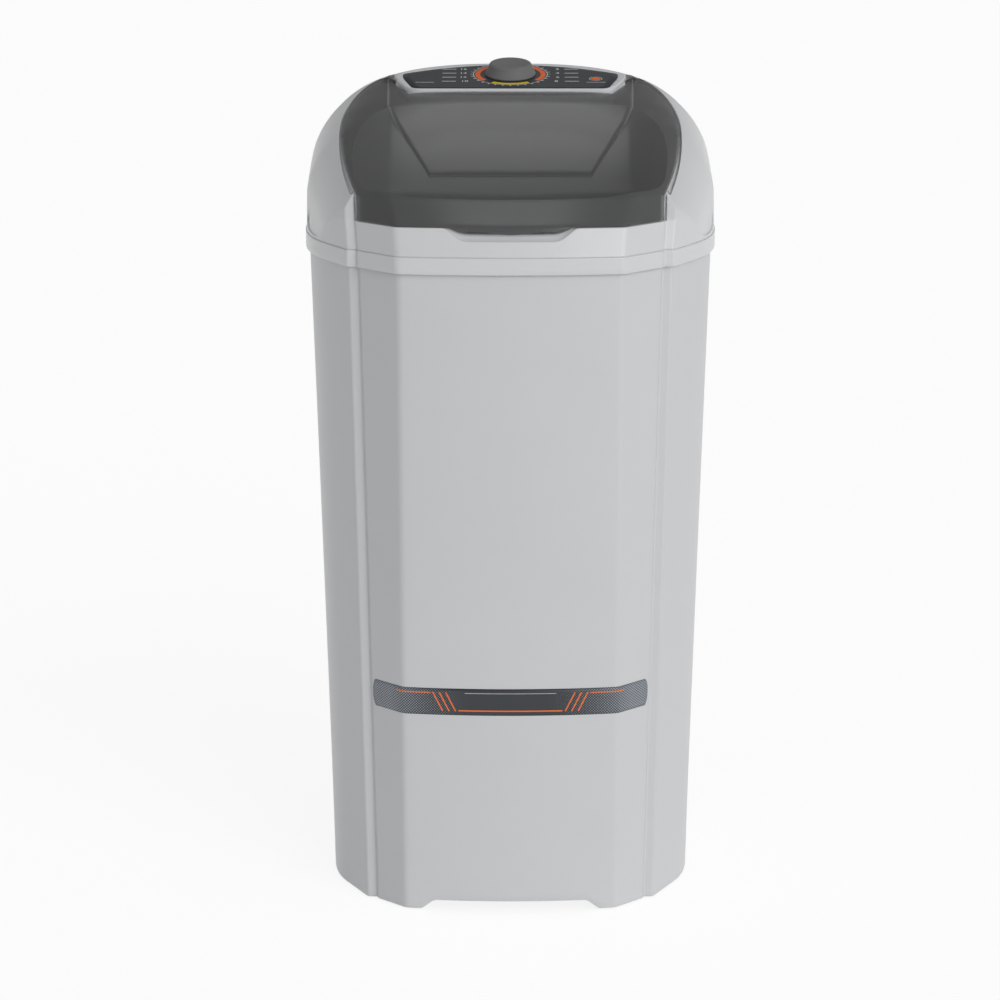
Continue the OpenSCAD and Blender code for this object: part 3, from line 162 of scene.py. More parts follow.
class Graph:
    """The node tree of a material or of the world, with one method that adds any node."""

    def __init__(self, owner: bpy.types.Material | bpy.types.World) -> None:
        """Empties the owner's tree."""
        owner.use_nodes = True
        self.tree = owner.node_tree
        self.tree.nodes.clear()

    def add(
        self, kind: str, settings: dict[str, Any], inputs: dict[Any, Any], output: int | str = 0
    ) -> Sock:
        """Adds a node.

        Args:
            kind: The node's type.
            settings: Attributes to set first; stops is a colour ramp's list of (place, colour).
            inputs: A number, colour or Sock for each socket that is named or numbered.
            output: The output to hand back.

        Returns:
            That output as a Sock.
        """
        node: Any = self.tree.nodes.new(kind)
        for name, value in settings.items():
            if name == "stops":
                ramp = node.color_ramp.elements
                while len(ramp) < len(value):
                    ramp.new(0.5)
                for element, (place, colour) in zip(ramp, value):
                    element.position, element.color = place, colour
            else:
                setattr(node, name, value)
        for key, value in inputs.items():
            if isinstance(value, Sock):
                self.tree.links.new(value.out, node.inputs[key])
            elif isinstance(value, tuple) and node.inputs[key].type == "RGBA" and len(value) == 3:
                node.inputs[key].default_value = (*value, 1.0)
            else:
                node.inputs[key].default_value = value
        return Sock(self, node.outputs[output]) if len(node.outputs) else Sock(self, node.inputs[0])

    def place(self) -> tuple[Sock, Sock, Sock, Sock]:
        """The point in the machine's own metres.

        Returns:
            The vector and its x, y and z.
        """
        point = self.add("ShaderNodeTexCoord", {}, {}, "Object")
        x = self.add("ShaderNodeSeparateXYZ", {}, {0: point})
        return point, x, x.other("Y"), x.other("Z")

    def noise(self, size: float, detail: float = 2.0, point: Sock | None = None) -> Sock:
        """Adds soft noise.

        Args:
            size: Size of its lumps in metres.
            detail: How many finer layers it has.
            point: Where it is looked up; the machine's own point if left out.

        Returns:
            A value about 0.5.
        """
        inputs: dict[Any, Any] = {"Scale": 1.0 / size, "Detail": detail}
        inputs["Vector"] = point or self.place()[0]
        return self.add("ShaderNodeTexNoise", {}, inputs)

    def mix(self, factor: Sock | float, one: Any, two: Any) -> Sock:
        """Blends two colours.

        Args:
            factor: 0 for the first, 1 for the second.
            one: The first colour or link.
            two: The second colour or link.

        Returns:
            The blended colour.
        """
        inputs = {0: factor, 6: one, 7: two}
        return self.add("ShaderNodeMix", {"data_type": "RGBA"}, inputs, 2)

    def shift(self, colour: Colour, amount: Sock, spread: float) -> Sock:
        """Makes a colour lighter and darker.

        Args:
            colour: The colour.
            amount: 0 for the darkest, 1 for the lightest.
            spread: The largest change, as a part of the colour.

        Returns:
            The changed colour.
        """
        low = tuple(c * (1 - spread) for c in colour)
        high = tuple(min(1.0, c * (1 + spread)) for c in colour)
        return self.mix(amount, low, high)

    def blend(self, factor: Sock | float, one: Sock, two: Sock) -> Sock:
        """Mixes two shaders."""
        return self.add("ShaderNodeMixShader", {}, {0: factor, 1: one, 2: two})

    def seen(self) -> Sock:
        """1 for the rays that show the background: straight ones, off gloss and through glass."""
        path = self.add("ShaderNodeLightPath", {}, {}, "Is Camera Ray")
        return path + path.other("Is Glossy Ray") + path.other("Is Transmission Ray")

    def surface(self, inputs: dict[str, Any]) -> None:
        """Ends the tree with a Principled shader with these inputs."""
        shader = self.add("ShaderNodeBsdfPrincipled", {}, inputs)
        self.add("ShaderNodeOutputMaterial", {}, {"Surface": shader})

    def bump(self, height: Sock, depth: float) -> Sock:
        """A surface relief of that depth in metres."""
        return self.add("ShaderNodeBump", {}, {"Height": height, "Distance": depth, "Strength": 1.0})


# Finishes


@dataclass(frozen=True)
class Finish:
    """A finish of the machine, made into a material once."""

    name: str
    colour: Colour

    def material(self) -> bpy.types.Material:
        """Makes the material on first use.

        Returns:
            The material.
        """
        found = bpy.data.materials.get(self.name)
        if found is None:
            found = bpy.data.materials.new(self.name)
            self.paint(Graph(found))
        return found

    def paint(self, graph: Graph) -> None:
        """Builds the node tree."""
        raise NotImplementedError


@dataclass(frozen=True)
class MouldedPlastic(Finish):
    """Injection-moulded plastic with a faint orange peel."""

    roughness: float = 0.35
    peel: float = 0.004
    depth: float = 0.00003
    spread: float = 0.02
    coat: float = 0.0
    level: float = 0.5

    def paint(self, graph: Graph) -> None:
        """Clouds the colour and the gloss a little and adds the peel.

        Args:
            graph: The material's tree.
        """
        point = graph.place()[0]
        cloud = graph.noise(0.09, 3.0, point)
        fine = graph.noise(self.peel, 2.0, point)
        graph.surface({
            "Base Color": graph.shift(self.colour, cloud, self.spread),
            "Roughness": cloud * 0.06 + fine * 0.03 + (self.roughness - 0.045),
            "Specular IOR Level": self.level,
            "Coat Weight": self.coat,
            "Coat Roughness": 0.12,
            "Normal": graph.bump(fine, self.depth),
        })


@dataclass(frozen=True)
class SmokedPlastic(Finish):
    """See-through grey plastic, with painted shade along the creases of the raised field as extra alpha.
    """

    roughness: float = 0.10
    opacity: float = 0.48
    # crease and foot_crease_shade are painted shade: extra alpha that darkens the shield's side creases
    # and its front line.
    crease: float = 0.30
    foot_crease_shade: float = 0.10
    width: float = 0.0008
    line: tuple[tuple[float, float], ...] = (
        (-0.1525, 0.0975), (-0.008, 0.144), (0.050, 0.155), (0.169, 0.159)
    )

    def paint(self, graph: Graph) -> None:
        """Clouds the tint a little and paints shade along the creases by raising the alpha there.

        Args:
            graph: The material's tree.
        """
        point, x, y, _ = graph.place()
        side = abs(x)
        front, half = self.line[0]
        edge: Any = half
        for (y0, x0), (y1, x1) in zip(self.line, self.line[1:]):
            edge = edge + y.ramp(y0, y1) * (x1 - x0)
        # Painted shade: masks of the shield's side creases, fading towards the back, and of its front
        # line.
        crease_shade_fade = y.ramp(0.10, -0.05).math("MAXIMUM", 0.4)
        wall = abs(side - edge).ramp(self.width, 0.0) * (y > front) * crease_shade_fade
        foot = abs(y - front).ramp(self.width, 0.0) * (side < half)
        fine = graph.noise(0.004, 2.0, point)
        graph.surface({
            "Base Color": graph.shift(self.colour, graph.noise(0.09, 3.0, point), 0.03),
            "Roughness": fine * 0.03 + self.roughness,
            # Alpha: the plain opacity, plus painted shade along the creases.
            "Alpha": wall * self.crease + foot * self.foot_crease_shade + self.opacity,
            "Normal": graph.bump(fine, 0.000004),
        })


@dataclass(frozen=True)
class Metal(Finish):
    """Bare metal with fine scratches or cast grain."""

    roughness: float = 0.32
    grain: float = 0.0015
    depth: float = 0.00002
    stretch: Point = (1.0, 1.0, 1.0)

    def paint(self, graph: Graph) -> None:
        """Stretches a grain over the surface for colour, gloss and relief.

        Args:
            graph: The material's tree.
        """
        point = graph.place()[0]
        drawn = graph.add("ShaderNodeVectorMath", {"operation": "MULTIPLY"}, {0: point, 1: self.stretch})
        grain = graph.noise(self.grain, 4.0, drawn)
        cloud = graph.noise(0.03, 2.0, point)
        graph.surface({
            "Base Color": graph.shift(self.colour, cloud, 0.12),
            "Metallic": 1.0,
            "Roughness": grain * 0.2 + (self.roughness - 0.1),
            "Normal": graph.bump(grain, self.depth),
        })


@dataclass(frozen=True)
class Rubber(Finish):
    """Dull black rubber with a dusty bloom."""

    def paint(self, graph: Graph) -> None:
        """Greys the black in soft patches.

        Args:
            graph: The material's tree.
        """
        point = graph.place()[0]
        dust = graph.noise(0.02, 4.0, point)
        grain = graph.noise(0.0012, 2.0, point)
        graph.surface({
            "Base Color": graph.shift(self.colour, dust, 0.35),
            "Roughness": dust * 0.15 + 0.68,
            "Normal": graph.bump(grain, 0.00005),
        })


@dataclass(frozen=True)
class Galvanised(Finish):
    """Zinc-coated sheet with its spangle."""

    def paint(self, graph: Graph) -> None:
        """Gives each spangle its own shade.

        Args:
            graph: The material's tree.
        """
        point = graph.place()[0]
        cell = graph.add("ShaderNodeTexVoronoi", {}, {"Vector": point, "Scale": 160.0}, "Color")
        tone = graph.add("ShaderNodeSeparateColor", {}, {0: cell})
        graph.surface({
            "Base Color": graph.shift(self.colour, tone, 0.15),
            "Metallic": 1.0,
            "Roughness": tone * 0.2 + 0.3,
        })


@dataclass(frozen=True)
class PanelFilm(Finish):
    """The dial panel's dark film with its printed scale."""

    dial: float = 0.060
    rows: tuple[float, float] = (0.020, 0.018)

    def paint(self, graph: Graph) -> None:
        """Prints the arcs, ticks, hairlines and dots on the film.

        Args:
            graph: The material's tree.
        """
        point, x, y, z = graph.place()
        v = (y - PANEL_Y * MM) * math.cos(PANEL_TILT) + (z - PANEL_Z * MM) * math.sin(PANEL_TILT)
        up = v - self.dial
        radius = (x * x + up * up).math("SQRT")
        turn = abs(x.math("ARCTAN2", up)) * (180 / math.pi)
        band = radius.between(0.0392, 0.0456)
        orange = band * turn.between(36, 128)
        yellow = band * turn.between(147, 181)
        ring = radius.between(0.0474, 0.0482) * turn.between(30, 181)
        step = abs((turn / 11.25 + 0.5).math("FRACT") - 0.5)
        ticks = radius.between(0.0482, 0.0520) * (step * radius < 0.0030) * turn.between(30, 181)
        side = abs(x)
        row = abs(((v - self.rows[0]) / self.rows[1]).math("FRACT") - 0.5)
        lines = (row < 0.05) * v.between(self.rows[0], self.rows[0] + 4 * self.rows[1])
        lines = lines * side.between(0.070, 0.088)
        rule = v.between(0.0240, 0.0252) * side.between(0.098, 0.122)
        dot_u = side - 0.110
        dot_v = v - 0.040
        dot = (dot_u * dot_u + dot_v * dot_v).math("SQRT")
        disc = (dot < 0.0060) * (x > 0)
        loop = dot.between(0.0076, 0.0084) * (x > 0)
        fine = graph.noise(0.002, 2.0, point)
        film = graph.shift(self.colour, graph.noise(0.03, 2.0, point), 0.06)
        film = graph.mix(orange.math("MAXIMUM", disc), film, (0.82, 0.13, 0.015))
        film = graph.mix(yellow, film, (0.80, 0.60, 0.02))
        white = ring
        for mark in (ticks, rule, loop, lines):
            white = white.math("MAXIMUM", mark)
        film = graph.mix(white, film, (0.72, 0.73, 0.74))
        graph.surface({
            "Base Color": film,
            "Specular IOR Level": 0.06,
            "Roughness": fine * 0.08 + 0.26,
            "Normal": graph.bump(fine, 0.00001),
        })


@dataclass(frozen=True)
class BandFilm(Finish):
    """The front band: dark film, dots towards the ends and thin orange lines."""

    foot: float = 0.257
    height: float = 0.034

    def paint(self, graph: Graph) -> None:
        """Prints the dots and the lines.

        Args:
            graph: The material's tree.
        """
        point, x, _, z = graph.place()
        side = abs(x)
        v = z - self.foot
        pitch = 0.0034
        one = ((x + z) / pitch).math("FRACT") - 0.5
        two = ((x - z) / pitch).math("FRACT") - 0.5
        dot = (one * one + two * two).math("SQRT")
        dots = dot < side.ramp(0.040, 0.150) * 0.44
        slant = side - v * 0.5
        low = v.between(0.0050, 0.0066) * (side < 0.0640)
        bars = v.between(0.0050, 0.0290) * ((slant - 0.0640) / 0.0080).math("FRACT").between(0.0, 0.22)
        bars = bars * slant.between(0.0640, 0.0860)
        high = v.between(0.0276, 0.0290) * side.between(0.0985, 0.1400)
        hair = v.between(0.0278, 0.0286) * (side < 0.0560)
        orange = low.math("MAXIMUM", bars).math("MAXIMUM", high)
        film = graph.mix(dots, self.colour, (0.30, 0.33, 0.37))
        film = graph.mix(hair, film, (0.45, 0.46, 0.48))
        film = graph.mix(orange, film, (0.84, 0.165, 0.02))
        fine = graph.noise(0.003, 2.0, point)
        graph.surface({
            "Base Color": film,
            "Roughness": fine * 0.08 + 0.30,
            "Normal": graph.bump(fine, 0.00001),
        })


LOOKS: dict[str, tuple[type[Finish], Colour, dict[str, Any]]] = {
    "shell_plastic": (MouldedPlastic, (0.600, 0.608, 0.622), {"roughness": 0.40}),
    "cover_plastic": (MouldedPlastic, (0.640, 0.648, 0.660), {"roughness": 0.34, "coat": 0.15}),
    "lid_smoke": (SmokedPlastic, (0.064, 0.064, 0.065), {}),
    "bezel_silver": (MouldedPlastic, (0.64, 0.65, 0.67), {"roughness": 0.28, "coat": 0.3}),
    "knob_plastic": (MouldedPlastic, (0.165, 0.166, 0.169), {"roughness": 0.45, "level": 0.05}),
    "panel_ink": (MouldedPlastic, (0.72, 0.73, 0.74), {"roughness": 0.4}),
    "foot_rubber": (Rubber, (0.025, 0.025, 0.026), {}),
    "agitator_plastic": (MouldedPlastic, (0.17, 0.21, 0.28), {"roughness": 0.3, "coat": 0.2}),
    "overlay_film": (PanelFilm, (0.042, 0.045, 0.051), {}),
    "strip_film": (BandFilm, (0.026, 0.030, 0.037), {}),
    "guard_plastic": (MouldedPlastic, (0.030, 0.030, 0.033), {"roughness": 0.6}),
    "zinc_screws": (Metal, (0.60, 0.60, 0.58), {"roughness": 0.35}),
    "pin_steel": (Metal, (0.55, 0.55, 0.56), {"stretch": (1.0, 6.0, 6.0)}),
    "timer_plastic": (MouldedPlastic, (0.66, 0.62, 0.50), {"roughness": 0.5}),
    "tub_plastic": (MouldedPlastic, (0.80, 0.81, 0.82), {"roughness": 0.3, "coat": 0.1}),
    "net_plastic": (MouldedPlastic, (0.74, 0.75, 0.76), {"roughness": 0.55}),
    "cast_alloy": (Metal, (0.50, 0.50, 0.51), {"roughness": 0.55, "depth": 0.0001}),
    "bush_bronze": (Metal, (0.50, 0.33, 0.16), {"roughness": 0.45}),
    "pulley_iron": (Metal, (0.13, 0.13, 0.14), {"roughness": 0.6, "depth": 0.0001}),
    "belt_rubber": (Rubber, (0.022, 0.022, 0.023), {}),
    "motor_paint": (MouldedPlastic, (0.035, 0.04, 0.045), {"roughness": 0.42, "coat": 0.3}),
    "bracket_steel": (Galvanised, (0.55, 0.56, 0.56), {}),
    "capacitor_can": (MouldedPlastic, (0.57, 0.57, 0.54), {"roughness": 0.5}),
    "hose_rubber": (Rubber, (0.035, 0.035, 0.037), {}),
    "inlet_plastic": (MouldedPlastic, (0.70, 0.71, 0.71), {"roughness": 0.38}),
    "lead_jacket": (MouldedPlastic, (0.60, 0.56, 0.42), {"roughness": 0.5}),
}
FINISHES = {slot: kind(f"{slot}_look", colour, **more) for slot, (kind, colour, more) in LOOKS.items()}


# Mesh making


class Cut(Enum):
    """How a second solid changes the first."""

    AWAY = "DIFFERENCE"
    JOIN = "UNION"
    COMMON = "INTERSECT"


def lerp(a: Any, b: Any, t: Any) -> Any:
    """The value between a and b at t."""
    return a + (b - a) * t


def bend(a: Array, b: Array, c: Array, t: float) -> Array:
    """Points at t on quadratic curves from a to c that head for b."""
    return (1 - t) ** 2 * a + 2 * t * (1 - t) * b + t * t * c


def pair(x: Array, y: Array) -> Array:
    """Two coordinates side by side, (n, 2)."""
    return np.column_stack([x, y])


def lift(flat: Array, z: Array | float) -> Array:
    """Points seen from above, (n, 2), set at heights, (n, 3)."""
    return np.column_stack([flat, np.broadcast_to(np.asarray(z, float), len(flat))])


def bezier(points: Sequence[Any], t: Array) -> Array:
    """Points of a quadratic or cubic Bezier curve.

    Args:
        points: Three or four control points, each (2,) or (n, 2).
        t: Parameters, (n,).

    Returns:
        The points, (n, 2).
    """
    t = t[:, None]
    weights = (
        ((1 - t) ** 2, 2 * t * (1 - t), t * t)
        if len(points) == 3
        else ((1 - t) ** 3, 3 * t * (1 - t) ** 2, 3 * t * t * (1 - t), t**3)
    )
    return sum(w * np.asarray(p, float) for w, p in zip(weights, points))


def soften(points: Array, reach: Sequence[float], steps: int = 5) -> Array:
    """Rounds the corners of an open line.

    Args:
        points: The line, (n, 2).
        reach: How far each corner's rounding reaches along its sides; 0 keeps the corner.
        steps: Points for each rounded corner.

    Returns:
        The rounded line.
    """
    out: list[Array] = []
    for i, corner in enumerate(points):
        if reach[i] <= 0 or i in (0, len(points) - 1):
            out.append(corner[None])
            continue
        before, after = points[i - 1] - corner, points[i + 1] - corner
        one = corner + before * min(0.49, reach[i] / np.linalg.norm(before))
        two = corner + after * min(0.49, reach[i] / np.linalg.norm(after))
        out.append(bezier((one, corner, two), np.linspace(0, 1, steps)))
    return np.concatenate(out)


def along(points: Array, places: Array) -> Array:
    """Points of a line at given lengths along it.

    Args:
        points: The line, (n, 2).
        places: Lengths from its start.

    Returns:
        The points, one for each length.
    """
    run = lengths_to(points)
    return np.stack([np.interp(places, run, column) for column in points.T], axis=1)


def lengths_to(points: Array) -> Array:
    """Length along a line to each of its points."""
    return np.concatenate([[0.0], np.cumsum(np.linalg.norm(np.diff(points, axis=0), axis=1))])


def add_object(name: str, data: bpy.types.ID) -> bpy.types.Object:
    """Links data to the scene under a name.

    Args:
        name: The object's name.
        data: A mesh, text, lamp or camera.

    Returns:
        The new object.
    """
    piece = bpy.data.objects.new(name, data)
    bpy.context.scene.collection.objects.link(piece)
    return piece


def clean(mesh: bpy.types.Mesh, merge: float = 0.00001, angle: float = 32.0) -> None:
    """Merges doubled points, turns the faces outwards and shades them smooth but for sharp edges.

    Args:
        mesh: The mesh to change.
        merge: Points nearer than this become one, in metres.
        angle: Edges that turn by more than this stay sharp, in degrees.
    """
    work = bmesh.new()
    work.from_mesh(mesh)
    bmesh.ops.remove_doubles(work, verts=work.verts, dist=merge)
    bmesh.ops.dissolve_degenerate(work, edges=work.edges, dist=merge)
    bmesh.ops.recalc_face_normals(work, faces=work.faces)
    work.to_mesh(mesh)
    work.free()
    mesh.polygons.foreach_set("use_smooth", [True] * len(mesh.polygons))
    mesh.set_sharp_from_angle(angle=math.radians(angle))
    mesh.update()


def grid(
    name: str, rows: Array, wrap: bool = True, close: bool = True, skip: Array | None = None
) -> bpy.types.Object:
    """Makes a mesh from rows of points.

    Args:
        name: The piece's name.
        rows: Points in millimetres, (rows, columns, 3).
        wrap: Joins the last column to the first.
        close: Joins the last row to the first.
        skip: True for each cell that is left out, (rows - 1, columns - 1).

    Returns:
        The new object.
    """
    high, wide = rows.shape[:2]
    up = np.arange(high if close else high - 1)
    across = np.arange(wide if wrap else wide - 1)
    i, j = np.meshgrid(up, across, indexing="ij")
    if skip is not None:
        keep = ~skip[i, j]
        i, j = i[keep], j[keep]
    i, j = i.ravel(), j.ravel()
    n_i, n_j = (i + 1) % high, (j + 1) % wide
    faces = np.stack([i * wide + j, i * wide + n_j, n_i * wide + n_j, n_i * wide + j], axis=1)
    mesh = bpy.data.meshes.new(name)
    mesh.from_pydata((rows.reshape(-1, 3) * MM).tolist(), [], faces.tolist())
    return add_object(name, mesh)


def both_sides(rows: Array, closed: bool = True) -> Array:
    """Completes the rows of one side with their mirror image.

    Args:
        rows: Rows that start in the middle, (rows, n, 3).
        closed: They end in the middle too; otherwise the image comes first and the rows are open.

    Returns:
        The rows of both sides.
    """
    other = rows[:, -2:0:-1] if closed else rows[:, :0:-1]
    parts = [rows, other * [-1, 1, 1]]
    return np.concatenate(parts if closed else parts[::-1], axis=1)


def prism(name: str, outline: Array, low: float, high: float, turn: Matrix) -> bpy.types.Object:
    """Extrudes a closed outline into a solid.

    Args:
        name: The piece's name.
        outline: Points in millimetres, (n, 2).
        low: Where the solid starts.
        high: Where it ends.
        turn: Frame of the outline, in metres.

    Returns:
        The new object.
    """
    count = len(outline)
    flat = [(*p, low) for p in outline] + [(*p, high) for p in outline]
    faces = [[i, (i + 1) % count, count + (i + 1) % count, count + i] for i in range(count)]
    faces += [list(range(count - 1, -1, -1)), list(range(count, 2 * count))]
    mesh = bpy.data.meshes.new(name)
    mesh.from_pydata([tuple(c * MM for c in p) for p in flat], [], faces)
    mesh.transform(turn)
    return add_object(name, mesh)


def circle(radius: float, count: int = 48) -> Array:
    """Points of a circle about the origin, (count, 2)."""
    a = np.linspace(0, 2 * math.pi, count, endpoint=False)
    return pair(radius * np.cos(a), radius * np.sin(a))


def lathe(name: str, profile: Array, turn: Matrix) -> bpy.types.Object:
    """Turns a profile about an axis.

    Args:
        name: The piece's name.
        profile: Radius and height of each point in millimetres, (n, 2).
        turn: Frame of the axis, in metres.

    Returns:
        The new object.
    """
    rows = np.stack([lift(circle(r, 128), h) for r, h in profile])
    piece = grid(name, rows, close=False)
    piece.data.transform(turn)
    clean(piece.data, angle=40.0)
    return piece


def final_mesh(piece: bpy.types.Object) -> bpy.types.Mesh:
    """The mesh that an object's modifiers or its text make."""
    graph = bpy.context.evaluated_depsgraph_get()
    return bpy.data.meshes.new_from_object(piece.evaluated_get(graph))


def bake(piece: bpy.types.Object) -> None:
    """Replaces a piece's mesh with what its modifiers make of it."""
    made = final_mesh(piece)
    piece.modifiers.clear()
    piece.data = made


def thicken(piece: bpy.types.Object, thick: float, offset: float, even: bool = False) -> None:
    """Adds a wall thickness, which bake makes.

    Args:
        piece: The sheet.
        thick: Its thickness in metres.
        offset: -1 puts the wall behind the sheet, 0 on both sides of it.
        even: Keeps the thickness over corners.
    """
    change = piece.modifiers.new("thickness", "SOLIDIFY")
    change.thickness, change.offset, change.use_even_offset = thick, offset, even


def placed(x: float, y: float, z: float, angle: float) -> Matrix:
    """A frame at a point in metres, turned about X."""
    return Matrix.Translation((x, y, z)) @ Matrix.Rotation(angle, 4, "X")


def carve(piece: bpy.types.Object, tool: bpy.types.Object, cut: Cut) -> None:
    """Changes a closed piece by another one, which is used up.

    Args:
        piece: The piece to change.
        tool: The second solid.
        cut: What is done.
    """
    change = piece.modifiers.new("cut", "BOOLEAN")
    change.operation = cut.value
    change.solver = "MANIFOLD"
    change.object = tool
    bake(piece)
    bpy.data.objects.remove(tool)


def dress(
    piece: bpy.types.Object, body: str, slot: str, nodes: Iterable[str] = (), finish: Finish | None = None
) -> None:
    """Gives a piece its finish, its body and the nodes that it stands for.

    Args:
        piece: The piece.
        body: The body that it rides on.
        slot: The record's material slot.
        nodes: The nodes that it replaces.
        finish: Another finish than the slot's own.
    """
    piece.data.materials.clear()
    piece.data.materials.append((finish or FINISHES[slot]).material())
    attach(piece, body)
    if nodes:
        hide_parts(*nodes)
    LOG.info("%s: %d faces on %s", piece.name, len(piece.data.polygons), body)


# Forms that several pieces share


@dataclass(frozen=True)
class BodyPlan:
    """The body's outline seen from above; the columns of the arrays are its seven sizes."""

    bow: float = 11.0
    side_y: float = 30.0
    foot: tuple[float, ...] = (232, 236, 236, 131, 35, 33, 125)
    rim: tuple[float, ...] = (254, 247, 247, 134, 48, 51, 125)
    height: float = 812.0
    corners: tuple[Point, ...] = ((1, 0.045, 0.085), (2, 0.03, 0.3), (3, 0.3, 0.16), (4, 0.22, 0.02))

    def grow(self, sizes: Array, by: float) -> Array:
        """The sizes of an outline that lies further out."""
        return sizes + by * np.array([1, 1, 1, 0.4, 0, 0, 0])

    def level(self, z: Array) -> Array:
        """Sizes of the cabinet at some heights, (n, 7)."""
        return lerp(np.array(self.foot), np.array(self.rim), np.asarray(z)[:, None] / self.height)

    def raw(self, sizes: Array, q: Array) -> Array:
        """Points of half the outline, with its corners sharp.

        Args:
            sizes: The seven sizes for each point, (n, 7).
            q: Place of each point, from 0 at the front middle to 8 at the back middle.

        Returns:
            The points, (n, 2).
        """
        half, front, back, crease, facet_w, facet_d, corner = sizes.T
        start = pair(crease, self.bow - front)
        facet = start + pair(facet_w, facet_d)
        inner = facet + np.array([2.0, 6.0])
        outer = inner + np.array([12.0, 1.0])
        wide = pair(half, np.full_like(half, self.side_y))
        radius = np.minimum(corner, back - self.side_y - 1)
        turn_in, turn_out = pair(half, back - radius), pair(half - corner, back)
        # A circle's arc as a Bezier curve has its handles this part of the radius from the corner.
        pull = 0.4477
        before, after = pair(half, back - radius * pull), pair(half - corner * pull, back)
        middle = pair(np.zeros_like(half), back)
        segment = np.clip(np.floor(q), 0, 7).astype(int)
        t = q - segment
        s = t[:, None]
        choices = [
            pair(crease * t, self.bow * t * t - front),
            lerp(start, facet, s),
            lerp(facet, inner, s),
            lerp(inner, outer, s),
            self.flank(outer, wide, t, sizes[:, 0]),
            lerp(wide, turn_in, s),
            bezier((turn_in, before, after, turn_out), t),
            lerp(turn_out, middle, s),
        ]
        return np.choose(segment[:, None], choices)

    def flank(self, start: Array, end: Array, t: Array, half: Array) -> Array:
        """The stretch from the ledge to the widest point, which turns a tighter corner low down.

        Args:
            start: Where it leaves the ledge, (n, 2).
            end: The widest point, (n, 2).
            t: Part of the way, (n,).
            half: Half the width at each point's height, (n,).

        Returns:
            The points, (n, 2).
        """
        round_one = bezier((start, start + np.array([37.0, 71.0]), end - np.array([2.0, 115.0]), end), t)
        corner = start + np.array([45.0, 86.0])
        before, after = lerp(start, corner, 0.66), lerp(corner, end, 0.34)
        s = t[:, None]
        square = np.where(s < 0.3, lerp(start, before, s / 0.3), lerp(after, end, (s - 0.65) / 0.35))
        turn = bezier((before, corner, after), np.clip((t - 0.3) / 0.35, 0, 1))
        square = np.where((s >= 0.3) & (s < 0.65), turn, square)
        return lerp(round_one, square, np.clip((254 - half) / 22, 0, 1)[:, None])

    def line(self, sizes: Array, q: Array) -> Array:
        """Points of half the outline, with its corners rounded.

        Args:
            sizes: The seven sizes, one row for each point or one for all.
            q: Place of each point, as in raw.

        Returns:
            The points, (n, 2).
        """
        sizes = np.broadcast_to(sizes, (len(q), 7))
        points = self.raw(sizes, q)
        for at, before, after in self.corners:
            near = (q > at - before) & (q < at + after)
            if near.any():
                held = sizes[near]
                ends = [self.raw(held, np.full(len(held), at + d)) for d in (-before, 0.0, after)]
                points[near] = bezier(ends, (q[near] - at + before) / (before + after))
        return points

    def places(self, counts: Sequence[int], extra: Sequence[float] = ()) -> Array:
        """Places for the columns of a shell.

        Args:
            counts: Steps in each of the eight stretches of the outline.
            extra: Further places that need a column.

        Returns:
            The places in order.
        """
        parts = [np.linspace(k, k + 1, n + 1) for k, n in enumerate(counts)]
        parts += [np.linspace(at - b, at + a, 9) for at, b, a in self.corners]
        return np.unique(np.round(np.concatenate(parts + [np.array(extra)]), 5))


